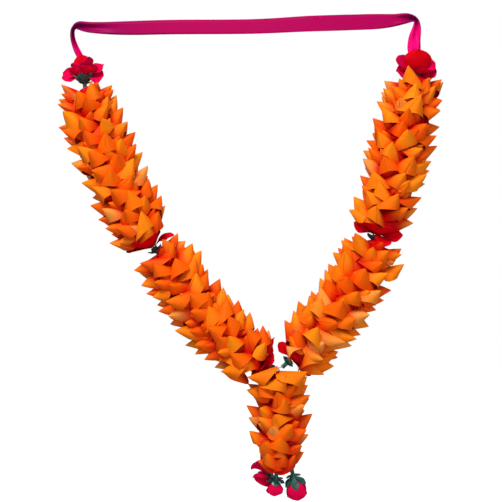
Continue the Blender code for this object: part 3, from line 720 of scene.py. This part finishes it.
def place_shaving(pile, draw, line, distance, azimuth, slant, reach, size, roundness, taken):
    """Set one shaving with its tip at a reach from the thread, pointing outwards and up, unless
    its tip falls on one of the taken places."""
    local = line.frame(distance)
    turn = local.to_3x3()
    outward = turn @ Vector((cos(azimuth), -sin(azimuth), 0.0))
    sideways = turn @ Vector((-sin(azimuth), -cos(azimuth), 0.0))
    up = turn @ UP
    tip = local.translation + outward * reach
    if any((tip - place).length < SET_CLEARANCE for place in taken):
        return
    direction = outward * cos(slant) + up * sin(slant)
    direction = (direction + sideways * stray(draw, SIDEWAYS_STRAY)).normalized()
    place = place_on_axis(tip, direction, outward, radians(stray(draw, ROLL_STRAY)))
    axis = (np.array(local.translation), np.array(up))
    add_shaving(pile, draw, place, axis, size, roundness)


def add_set_shavings(pile, name, line, roundness):
    """Add the strand's shavings that are set one by one. Gives the places of their tips."""
    draw = random.Random("set_" + name)
    taken = []
    for tip, direction, size, dye_and_highlight in SET_SHAVINGS[name]:
        tip = Vector(tip)
        direction = Vector(direction).normalized()
        thread = line.nearest(tip)
        outward = ((tip - thread).normalized() + SET_FACING * FRONT).normalized()
        place = place_on_axis(tip, direction, outward, 0.0)
        rise = thread - line.nearest(tip - direction * SHAVING_SIDE)
        up = rise.normalized() if rise.length > DIRECTION_REACH else UP
        add_shaving(pile, draw, place, (np.array(thread), np.array(up)), size, roundness, dye_and_highlight)
        taken.append(tip)
    return taken


def make_strand(name, material):
    """All shavings of one strand, in a loose spiral down its thread, over an inner layer whose
    tips show only in the gaps."""
    string_name, first, last, count, sizes, roundness, seed = STRANDS[name]
    line = STRINGS[string_name]
    draw = random.Random(seed)
    pile = MeshPile()
    taken = add_set_shavings(pile, name, line, roundness)
    for index in range(count):
        share = index / (count - 1)
        size = three_point(sizes, share)
        azimuth = radians(SPIRAL_TURN * index + stray(draw, TURN_STRAY))
        distance = first + (last - first) * share + stray(draw, DISTANCE_STRAY)
        crown = max(0.0, 1.0 - share * CROWN_FADE)
        slant = SHAVING_SLANT + SHAVING_FRONT_SLANT * max(0.0, sin(azimuth))
        slant = radians(slant + CROWN_SLANT * crown + draw.uniform(*SLANT_STRAY))
        reach = TIP_REACH * size * (1.0 - CROWN_PULL * crown) * draw.uniform(*REACH_STRAY)
        size *= draw.uniform(*SIZE_STRAY)
        place_shaving(pile, draw, line, distance, azimuth, slant, reach, size, roundness, taken)
    inner_count = round(count * INNER_SHARE)
    for index in range(inner_count):
        share = (index + 0.5) / inner_count
        size = three_point(sizes, share)
        azimuth = radians(SPIRAL_TURN * (index + 0.5) + stray(draw, INNER_TURN_STRAY))
        distance = first + (last - first) * share
        slant = radians(SHAVING_SLANT + stray(draw, INNER_SLANT_STRAY))
        reach = TIP_REACH * size * INNER_REACH * draw.uniform(*INNER_REACH_STRAY)
        place_shaving(pile, draw, line, distance, azimuth, slant, reach, size, roundness, ())
    pile.make("shavings_" + name.replace("strand_", ""), material, name, "shavings")


def petal_half_width(share, point):
    """Half width along a petal as a share of its widest. A point of 0 gives a round end."""
    root, widest = 0.22, 0.60
    rising = root + (1.0 - root) * np.sin(0.5 * pi * np.minimum(share / widest, 1.0)) ** 1.15
    beyond = np.clip((share - widest) / (1.0 - widest), 0.0, 1.0)
    ending = np.maximum(1.0 - beyond ** 2, 0.0) ** (0.5 + 0.45 * point)
    return np.where(share < widest, rising, np.maximum(ending, 0.05))


def leaf_sheet(form, start, height, cells, cup, ruffle, rib, draw):
    """Curved leaf on its flower's own axes: its grid, flat coordinates and tone."""
    azimuth, lift, curl, length, width, roll, point = form
    along = np.linspace(0.0, 1.0, cells[0] + 1)[:, None]
    across = np.linspace(-1.0, 1.0, cells[1] + 1)[None, :]
    tilt = radians(lift)
    bend = radians(curl) if curl else LEAST_BEND
    turned = tilt + bend * along
    reach = start + length * (np.sin(turned) - sin(tilt)) / bend
    rise = height + length * (cos(tilt) - np.cos(turned)) / bend
    half = 0.5 * width * petal_half_width(along, point)
    wave = draw.uniform(0.0, 2.0 * pi)
    half = half * (1.0 + OUTLINE_WAVE * np.sin(OUTLINE_WAVES * along + wave) * along)
    phase = np.where(across < 0.0, wave, wave + OTHER_SIDE_PHASE)
    ripple = np.sin(2.0 * pi * RUFFLE_WAVES * along + phase)
    depth = cup * half * across ** 2
    depth = depth + ruffle * across ** 2 * along * ripple
    depth = depth + ruffle * END_RUFFLE * along ** 6 * np.sin(END_WAVES * across + wave)
    depth = depth - rib * np.exp(-((across / RIB_SPREAD) ** 2)) * (1.0 - along ** 2)
    facing = radians(azimuth)
    outward = np.array([cos(facing), -sin(facing), 0.0])
    sideways = np.array([-sin(facing), -cos(facing), 0.0])
    upward = np.array(UP)
    inward = upward * np.cos(turned)[..., None] - outward * np.sin(turned)[..., None]
    lean = radians(roll) * np.minimum(1.0, along * ROLL_RISE)[..., None]
    side = sideways * np.cos(lean) + inward * np.sin(lean)
    face = inward * np.cos(lean) - sideways * np.sin(lean)
    grid = outward * reach[..., None] + upward * rise[..., None]
    grid = grid + side * (across * half)[..., None] + face * depth[..., None]
    shift = np.array([draw.uniform(0.0, FLAT_SHIFT), draw.uniform(0.0, FLAT_SHIFT)])
    flat = np.stack(np.broadcast_arrays(across * half, along * length), axis=-1) + shift
    edge = np.maximum(np.abs(across) ** 8, along ** 16)
    sideways_share = 0.8 * abs(cos(facing)) + 0.2 * draw.random()
    tone = np.stack(np.broadcast_arrays(sideways_share, along, edge), axis=-1)
    return grid, flat, tone


def add_leaf(pile, matrix, form, thickness, cells, start, height, shaping, draw):
    """Add one leaf to a pile at its flower's place. Shaping is its cup, ruffle and middle rib."""
    grid, flat, tone = leaf_sheet(form, start, height, cells, *shaping, draw)
    pile.add_sheet(set_at(grid, matrix), flat, tone, np.full(grid.shape[:2], thickness))


def make_petals(name, petals, matrix, material):
    """Cloth petals of one flower round its hub, with small inner petals."""
    draw = random.Random(name)
    pile = MeshPile()
    for index, form in enumerate(petals):
        height = HUB_LIFT + PETAL_RISE + PETAL_LAYER * (index % PETAL_LAYERS)
        add_leaf(pile, matrix, form, PETAL_THICKNESS, PETAL_CELLS, PETAL_START, height,
                 PETAL_SHAPING, draw)
    count, length, width = INNER_PETALS if name in STRUNG_FLOWERS else HANGING_INNER_PETALS
    for index in range(count):
        azimuth = INNER_PETAL_TURN + 360.0 * index / count
        form = (azimuth, INNER_PETAL_LIFT, INNER_PETAL_CURL, length, width,
                stray(draw, INNER_PETAL_ROLL), INNER_PETAL_POINT)
        add_leaf(pile, matrix, form, PETAL_THICKNESS, PETAL_CELLS, INNER_PETAL_START,
                 HUB_LIFT + INNER_PETAL_START, INNER_PETAL_SHAPING, draw)
    pile.make("bloom_" + name, material, "petals_" + name, "petals")


def make_calyx(name, sepals, sepal_width, sepal_root, matrix, material):
    """Moulded calyx: a flared cup on a ribbed tube with pointed sepals round its rim."""
    draw = random.Random("calyx_" + name)
    pile = MeshPile()
    top = HUB_LIFT + CUP_RIM
    profile = [
        (TUBE_BORE_RADIUS, top), (CUP_LIP_RADIUS, top), (CUP_RADIUS, top - 0.0006),
        (CUP_LIP_RADIUS, top - 0.0022), (TUBE_RADIUS + 0.0003, top - CUP_HEIGHT),
        (TUBE_RADIUS, top - CUP_HEIGHT - 0.0015), (TUBE_RADIUS, -TUBE_LENGTH + 0.0012),
        (TUBE_RADIUS + 0.0002, -TUBE_LENGTH + 0.0006), (TUBE_RADIUS, -TUBE_LENGTH),
        (TUBE_BORE_RADIUS, -TUBE_LENGTH),
    ]
    pile.add_turned(profile, matrix)
    for azimuth, lift, curl, length in sepals:
        form = (azimuth, lift, curl, length, sepal_width, stray(draw, SEPAL_ROLL), 1.0)
        add_leaf(pile, matrix, form, SEPAL_THICKNESS, SEPAL_CELLS, SEPAL_START, sepal_root,
                 SEPAL_SHAPING, draw)
    pile.make("green_calyx_" + name, material, "calyx_" + name, "calyx", CALYX_CREASE)


def make_flowers(petal_cloth, green_plastic):
    """Every flower of the garland."""
    for name, (string_name, distance, petals, sepals) in STRUNG_FLOWERS.items():
        matrix = np.array(STRINGS[string_name].frame(distance))
        make_petals(name, petals, matrix, petal_cloth)
        make_calyx(name, sepals, SEPAL_WIDTH, SEPAL_ROOT, matrix, green_plastic)
    for name, (hub, direction, petals, sepals) in HANGING_FLOWERS.items():
        matrix = np.array(upright_frame(Vector(hub), Vector(direction).normalized()))
        make_petals(name, petals, matrix, petal_cloth)
        make_calyx(name, sepals, HANGING_SEPAL_WIDTH, HANGING_SEPAL_ROOT, matrix, green_plastic)


def smooth_share(value, low, high):
    """Smooth share from 0 at low to 1 at high."""
    share = np.clip((value - low) / (high - low), 0.0, 1.0)
    return share * share * (3.0 - 2.0 * share)


def fold_profile(width, phase):
    """Across and depth offsets of a band whose arc length is the flat width. A wide band lies
    flat with its edges turned back. A narrow one is gathered in lengthwise folds."""
    share = np.linspace(0.0, 1.0, RIBBON_CELLS + 1)
    across = (share - 0.5) * width
    gathered = 1.0 - width / RIBBON_FLAT_WIDTH
    turned = -np.clip((share - (1.0 - UPPER_FOLD)) / UPPER_FOLD, 0.0, 1.0) ** 1.5
    turned -= LOWER_FOLD_DEPTH * np.clip((LOWER_FOLD - share) / LOWER_FOLD, 0.0, 1.0) ** 1.5
    waves = 0.5 * np.sin(2.0 * pi * (0.9 + 1.1 * gathered) * share + phase)
    blend = smooth_share(gathered, *GATHERING)
    shape = (1.0 - blend) * turned + blend * waves
    low, high = 0.0, DEEPEST_FOLD
    for _ in range(HALVINGS):
        middle = 0.5 * (low + high)
        length = np.sum(np.hypot(np.diff(across), np.diff(middle * shape)))
        if length < RIBBON_FLAT_WIDTH:
            low = middle
        else:
            high = middle
    return across, low * shape


def make_ribbon(material):
    """The satin band over its two hanging points: nearly flat between them, gathered in
    lengthwise folds at its bends and ends."""
    stations = smooth_route([Vector((x, width, z)) for x, z, width in RIBBON_STATIONS], RIBBON_STEP)
    points = np.array([(station.x, 0.0, station.z) for station in stations])
    distances = distances_along(points)
    tangents = unit(np.gradient(points, axis=0))
    front = np.array(FRONT)
    rows = []
    for point, station, distance, tangent in zip(points, stations, distances, tangents):
        across, depth = fold_profile(station.y, 0.6 + 1.4 * sin(distance * FOLD_DRIFT))
        side = np.cross(front, tangent)
        tilt = radians(RIBBON_TILT) * sin(distance * TILT_DRIFT + 0.6)
        leaned = side * cos(tilt) + front * sin(tilt)
        facing = front * cos(tilt) - side * sin(tilt)
        rows.append(point + across[:, None] * leaned + depth[:, None] * facing)
    grid = np.array(rows)
    share = np.linspace(0.0, RIBBON_FLAT_WIDTH, RIBBON_CELLS + 1)
    flat = np.stack(np.meshgrid(distances, share, indexing="ij"), axis=-1)
    # Painted shade on the ribbon's darker stretches.
    shade = np.zeros(distances.shape)
    for place, spread, depth in RIBBON_PAINTED_SHADES:
        shade += depth * np.exp(-(((distances - place) / spread) ** 2))
    tone = np.zeros(grid.shape)
    tone[..., 0] = np.clip(shade, 0.0, 1.0)[:, None]
    tone[..., 1] = share[None, :] / RIBBON_FLAT_WIDTH
    # Painted light on the ribbon's two drops.
    tone[..., 2] = np.maximum(
        smooth_share(distances, RIBBON_LEFT_DROP, 0.5 * RIBBON_LEFT_DROP),
        smooth_share(distances, RIBBON_RIGHT_DROP, RIBBON_RIGHT_DROP + 0.008),
    )[:, None]
    pile = MeshPile()
    pile.add_sheet(grid, flat, tone, np.full(grid.shape[:2], RIBBON_THICKNESS))
    ribbon = pile.make("satin_ribbon", material, "ribbon", "ribbon")


def carried_sides(points):
    """Two directions square to a route at each point, turned as little as may be."""
    along = unit(np.gradient(points, axis=0))
    side = np.cross(along[0], FIRST_SIDE)
    sides = []
    for direction in along:
        side = unit(side - direction * np.dot(side, direction))
        sides.append(side)
    return np.array(sides), np.cross(along, sides)


def add_tube(pile, points, radius, sides):
    """Add a closed tube with a number of sides along points."""
    angle = np.arange(sides) * (2.0 * pi / sides)
    side, other = carried_sides(points)
    spokes = np.cos(angle)[:, None] * side[:, None] + np.sin(angle)[:, None] * other[:, None]
    rings = (points[:, None] + radius * spokes).reshape(-1, 3)
    index = np.arange(len(rings)).reshape(-1, sides)
    after = np.roll(index, -1, axis=1)
    faces = [np.stack([index[:-1], after[:-1], after[1:], index[1:]], axis=-1).reshape(-1, 4)]
    for centre, ring in ((len(rings), index[0][::-1]), (len(rings) + 1, index[-1])):
        for spot in range(0, sides, 2):
            faces.append([(ring[spot], ring[spot + 1], ring[(spot + 2) % sides], centre)])
    reach = distances_along(points)
    flat = np.stack(np.meshgrid(reach, angle * radius, indexing="ij"), axis=-1).reshape(-1, 2)
    pile.add(
        np.concatenate([rings, points[:1], points[-1:]]), np.concatenate(faces),
        np.concatenate([flat, [[0.0, 0.0], [reach[-1], 0.0]]]),
    )


def add_thread(pile, route):
    """Add a thread of twisted plies along a route of points."""
    route = np.array([list(point) for point in route])
    reach = distances_along(route)
    steps = max(4, round(reach[-1] / PLY_PITCH * PLY_STEPS_A_TURN))
    distance = np.linspace(0.0, reach[-1], steps + 1)
    centre = np.stack([np.interp(distance, reach, route[:, axis]) for axis in range(3)], axis=1)
    side, other = carried_sides(centre)
    for ply in range(PLY_COUNT):
        turn = 2.0 * pi * (distance / PLY_PITCH + ply / PLY_COUNT)
        offset = np.cos(turn)[:, None] * side + np.sin(turn)[:, None] * other
        add_tube(pile, centre + PLY_REACH * offset, PLY_RADIUS, PLY_SIDES)


def winding_route(matrix, radius, turns, length):
    """Points of a thread wound round an axis, from its lower to its upper end."""
    count = turns * WINDING_STEPS
    route = []
    for step in range(count + 1):
        angle = 2.0 * pi * step / WINDING_STEPS
        height = length * (step / count - 0.5)
        route.append(matrix @ Vector((radius * cos(angle), radius * sin(angle), height)))
    return route


def knot_route(end):
    """Points of an overhand knot, a trefoil drawn up round the end of the pendant's thread."""
    route = []
    for step in range(KNOT_STEPS + 1):
        turn = 2.0 * pi * step / KNOT_STEPS
        across = sin(turn) + 2.0 * sin(2.0 * turn)
        height = cos(turn) - 2.0 * cos(2.0 * turn)
        depth = -sin(3.0 * turn)
        route.append(end + Vector((across * 0.33, depth * 0.45, height * 0.33)) * KNOT_REACH)
    return route


def string_route(line, start, end):
    """Points of a string between two distances."""
    steps = max(2, round((end - start) / DIRECTION_REACH))
    return [line.point(start + (end - start) * step / steps) for step in range(steps + 1)]


def make_threads(material):
    """The long thread through both strings, wound on the ribbon's ends, and the pendant's."""
    long_pile = MeshPile()
    route = []
    for line in (STRINGS["left"], STRINGS["right"]):
        winding = winding_route(
            line.frame(WINDING_DISTANCE), WINDING_RADIUS, WINDING_TURNS, WINDING_LENGTH,
        )
        add_thread(long_pile, winding)
        half = [winding[0]] + string_route(line, THREAD_START, line.length - THREAD_CORNER)
        if route:
            half.reverse()
        route += half
    add_thread(long_pile, route)
    pendant_pile = MeshPile()
    line = STRINGS["pendant"]
    end = line.points[-1]
    ring = Matrix.Translation((JUNCTION[0], 0.0, JUNCTION[1] - RING_DROP))
    ring = ring @ Vector(RING_AXIS).to_track_quat("Z", "Y").to_matrix().to_4x4()
    add_thread(pendant_pile, winding_route(ring, RING_RADIUS, RING_TURNS, RING_LENGTH))
    add_thread(pendant_pile, string_route(line, 0.0, line.length))
    add_thread(pendant_pile, knot_route(end))
    for hub, direction, _, _ in HANGING_FLOWERS.values():
        out = Vector(direction).normalized()
        mouth = Vector(hub) - out * (TUBE_LENGTH + TIE_GAP)
        inside = Vector(hub) - out * (TUBE_LENGTH - TIE_DEPTH)
        add_thread(pendant_pile, [end, mouth, inside])
    for name, pile in (("thread_main", long_pile), ("thread_pendant", pendant_pile)):
        pile.make("twisted_" + name, material, name, "thread", THREAD_CREASE)


class Nodes:
    """Short ways to add and join shader nodes of one material."""

    def __init__(self, name):
        self.material = bpy.data.materials.new(name)
        self.material.use_nodes = True
        self.tree = self.material.node_tree
        self.shader = self.tree.nodes["Principled BSDF"]

    def add(self, kind, **values):
        """A shader node of a kind. Values set its properties, or its inputs by name."""
        node = self.tree.nodes.new("ShaderNode" + kind)
        for key, value in values.items():
            if hasattr(node, key):
                setattr(node, key, value)
            else:
                node.inputs[key.replace("_", " ")].default_value = value
        return node

    def give(self, value, socket):
        """Give an input another node's output, a number or a colour."""
        if isinstance(value, bpy.types.NodeSocket):
            self.tree.links.new(value, socket)
        elif isinstance(value, float):
            socket.default_value = value
        else:
            socket.default_value = (*value, 1.0)

    def mix(self, factor, first, second):
        """Colour mix of outputs or plain values. Gives the result."""
        node = self.add("Mix", data_type="RGBA")
        for value, place in ((factor, 0), (first, 6), (second, 7)):
            self.give(value, node.inputs[place])
        return node.outputs[2]

    def ramp(self, value, low, high):
        """Smooth share from 0 at low to 1 at high."""
        node = self.add("MapRange", interpolation_type="SMOOTHSTEP")
        for given, name in ((value, "Value"), (low, "From Min"), (high, "From Max")):
            self.give(given, node.inputs[name])
        return node.outputs["Result"]

    def times(self, first, second):
        """Product of two outputs or numbers."""
        node = self.add("Math", operation="MULTIPLY")
        for value, socket in zip((first, second), node.inputs):
            self.give(value, socket)
        return node.outputs[0]

    def flat(self):
        """The flat coordinates of the mesh."""
        return self.add("UVMap", uv_map="sheet").outputs["UV"]

    def tone(self):
        """The four channels of the mesh's tone."""
        tone = self.add("Attribute", attribute_name="tone")
        parts = self.add("SeparateColor")
        self.give(tone.outputs["Color"], parts.inputs["Color"])
        return *parts.outputs[:3], tone.outputs["Alpha"]

    def noise(self, scale, detail, roughness):
        """Noise over the flat coordinates, stretched where it has a scale for each of them."""
        place = self.flat()
        if isinstance(scale, tuple):
            stretch = self.add("Mapping")
            stretch.inputs["Scale"].default_value = (*scale, 1.0)
            self.give(place, stretch.inputs["Vector"])
            place, scale = stretch.outputs["Vector"], 1.0
        noise = self.add("TexNoise", Scale=scale, Detail=detail, Roughness=roughness)
        self.give(place, noise.inputs["Vector"])
        return noise.outputs["Fac"]

    def set(self, **values):
        """Set inputs of the material's own shader by name."""
        for key, value in values.items():
            self.shader.inputs[key.replace("_", " ")].default_value = value

    def finish(self, colour, roughness, specular, height, strength, distance):
        """The material with its colour, gloss and a fine bump."""
        self.give(colour, self.shader.inputs["Base Color"])
        self.set(Roughness=roughness, Specular_IOR_Level=specular)
        bump = self.add("Bump", Strength=strength, Distance=distance)
        self.give(height, bump.inputs["Height"])
        self.give(bump.outputs["Normal"], self.shader.inputs["Normal"])
        return self.material


def shavings_material():
    """Dyed wood shaving: saturated orange, ochre on some, fine grain, a tan painted highlight on
    some, and painted shade in deep red towards the thread and on the inner faces.
    """
    nodes = Nodes("dyed_shavings")
    pick, _, depth, inside = nodes.tone()
    grain = nodes.noise((60.0, 1400.0), 4.0, 0.6)
    colour = nodes.mix(nodes.ramp(pick, 0.20, 0.84), DYE_ORANGE, DYE_YELLOW)
    colour = nodes.mix(nodes.ramp(pick, 0.14, 0.0), colour, DYE_RED)
    # Painted highlight: tan on the shavings with the palest tone.
    colour = nodes.mix(nodes.ramp(pick, 0.87, 0.97), colour, TAN_PAINTED_HIGHLIGHT)
    colour = nodes.mix(nodes.ramp(grain, 0.50, 0.75), colour, DYE_GRAIN)
    # Painted shade: deep red towards the thread.
    colour = nodes.mix(nodes.ramp(depth, 0.86, 0.48), colour, CORE_PAINTED_SHADE)
    # Painted shade: darker red on the inner faces.
    colour = nodes.mix(nodes.times(inside, 0.94), colour, INSIDE_PAINTED_SHADE)
    return nodes.finish(colour, 0.60, 0.08, grain, 0.25, 0.0003)


def ribbon_material():
    """Magenta satin with fine threads along it, painted light on its drops, painted shade where it
    turns.
    """
    nodes = Nodes("magenta_satin")
    shaded, _, drop_painted_light, _ = nodes.tone()
    threads = nodes.noise((40.0, 3500.0), 3.0, 0.5)
    colour = nodes.mix(nodes.ramp(threads, 0.3, 0.7), SATIN_DARK, SATIN_LIGHT)
    # Painted light on the drops.
    colour = nodes.mix(drop_painted_light, colour, SATIN_DROP_PAINTED_LIGHT)
    # Painted shade where the ribbon turns.
    colour = nodes.mix(shaded, colour, SATIN_PAINTED_SHADE)
    return nodes.finish(colour, 0.45, 0.04, threads, 0.12, 0.0002)


def cloth_weave(nodes, scale):
    """Two crossed sets of fine threads from the flat coordinates."""
    sets = []
    for direction in ("X", "Y"):
        threads = nodes.add("TexWave", bands_direction=direction, Scale=scale, Distortion=1.5)
        nodes.give(nodes.flat(), threads.inputs["Vector"])
        sets.append(threads.outputs["Fac"])
    return nodes.times(*sets)


def petals_material():
    """Red petal cloth, pinker on the lowest and highest flowers, darker at its hot-cut rims, with
    painted shade towards the hub."""
    nodes = Nodes("petal_cloth")
    pick, along, edge, _ = nodes.tone()
    place = nodes.add("NewGeometry")
    parts = nodes.add("SeparateXYZ")
    nodes.give(place.outputs["Position"], parts.inputs["Vector"])
    height = parts.outputs["Z"]
    colour = nodes.mix(pick, PETAL_RED, PETAL_WARM)
    colour = nodes.mix(nodes.ramp(height, -0.50, -0.56), colour, PETAL_PINK)
    crimson = nodes.mix(nodes.ramp(pick, 0.35, 0.75), PETAL_CRIMSON, PETAL_ROSE)
    colour = nodes.mix(nodes.ramp(height, -0.12, -0.07), colour, crimson)
    # Painted shade towards the hub.
    colour = nodes.mix(nodes.ramp(along, 0.35, 0.0), colour, PETAL_HUB_PAINTED_SHADE)
    colour = nodes.mix(nodes.ramp(edge, 0.55, 1.0), colour, PETAL_RIM)
    return nodes.finish(colour, 0.75, 0.04, cloth_weave(nodes, 900.0), 0.30, 0.0001)


def calyx_material():
    """Moulded dark green plastic with a faint flow pattern."""
    nodes = Nodes("green_plastic")
    flow = nodes.noise(350.0, 3.0, 0.55)
    colour = nodes.mix(nodes.ramp(flow, 0.35, 0.7), GREEN_DARK, GREEN_LIGHT)
    return nodes.finish(colour, 0.32, 0.5, flow, 0.25, 0.0002)


def thread_material():
    """Undyed cotton with fine fibres and a faint orange stain from the shavings."""
    nodes = Nodes("cotton_thread")
    fibres = nodes.noise((500.0, 4000.0), 3.0, 0.6)
    stain = nodes.noise(60.0, 2.0, 0.5)
    colour = nodes.mix(nodes.ramp(fibres, 0.3, 0.7), COTTON_DARK, COTTON_LIGHT)
    colour = nodes.mix(nodes.ramp(stain, 0.5, 0.7), colour, COTTON_STAIN)
    return nodes.finish(colour, 0.85, 0.5, fibres, 0.4, 0.0001)


def new_object(name, data):
    """An object with its data, in the scene."""
    made = bpy.data.objects.new(name, data)
    bpy.context.scene.collection.objects.link(made)
    return made


def make_floor():
    """A pale floor well below the garland."""
    mesh = bpy.data.meshes.new("floor")
    corners = [
        (x * FLOOR_HALF, y * FLOOR_HALF, FLOOR_HEIGHT)
        for x, y in ((-1.0, -1.0), (1.0, -1.0), (1.0, 1.0), (-1.0, 1.0))
    ]
    mesh.from_pydata(corners, [], [(0, 1, 2, 3)])
    floor = new_object("floor", mesh)
    nodes = Nodes("pale_floor")
    nodes.set(Base_Color=(*FLOOR_GREY, 1.0), Roughness=0.9)
    nodes.set(Emission_Color=(*WHITE, 1.0), Emission_Strength=FLOOR_GLOW)
    mesh.materials.append(nodes.material)
    floor.visible_diffuse = False
    floor.visible_glossy = False


def add_light(name, place, target, size, power):
    """A soft square light that faces a target."""
    data = bpy.data.lights.new(name, "AREA")
    data.shape = "SQUARE"
    data.size = size
    data.energy = power
    light = new_object(name, data)
    light.location = place
    light.rotation_euler = (Vector(target) - Vector(place)).to_track_quat("-Z", "Y").to_euler()


def make_world():
    """White surroundings, dimmer for the light that they give than for the camera."""
    world = bpy.data.worlds.new("studio")
    world.use_nodes = True
    tree = world.node_tree
    light = tree.nodes["Background"]
    seen = tree.nodes.new("ShaderNodeBackground")
    for background, strength in ((light, WORLD_LIGHT), (seen, 1.0)):
        background.inputs["Color"].default_value = (*WHITE, 1.0)
        background.inputs["Strength"].default_value = strength
    path = tree.nodes.new("ShaderNodeLightPath")
    mix = tree.nodes.new("ShaderNodeMixShader")
    tree.links.new(path.outputs["Is Camera Ray"], mix.inputs["Fac"])
    tree.links.new(light.outputs["Background"], mix.inputs[1])
    tree.links.new(seen.outputs["Background"], mix.inputs[2])
    tree.links.new(mix.outputs["Shader"], tree.nodes["World Output"].inputs["Surface"])
    bpy.context.scene.world = world


def make_camera():
    """The photograph's view: level, straight on, with the frame's width at the garland's plane."""
    data = bpy.data.cameras.new("photo_view")
    data.sensor_width = SENSOR_WIDTH
    data.lens = SENSOR_WIDTH * CAMERA_DISTANCE / FRAME_WIDTH
    camera = new_object("photo_view", data)
    camera.location = (FRAME_CENTRE[0], -CAMERA_DISTANCE, FRAME_CENTRE[1])
    camera.rotation_euler = (radians(90.0), 0.0, 0.0)
    bpy.context.scene.camera = camera


make_camera()
make_world()
make_floor()
for light_name, light_values in LIGHTS.items():
    add_light(light_name, *light_values)
bpy.context.scene.view_settings.view_transform = "Standard"

shavings = shavings_material()
for strand_name in STRANDS:
    make_strand(strand_name, shavings)
make_flowers(petals_material(), calyx_material())
make_ribbon(ribbon_material())
make_threads(thread_material())
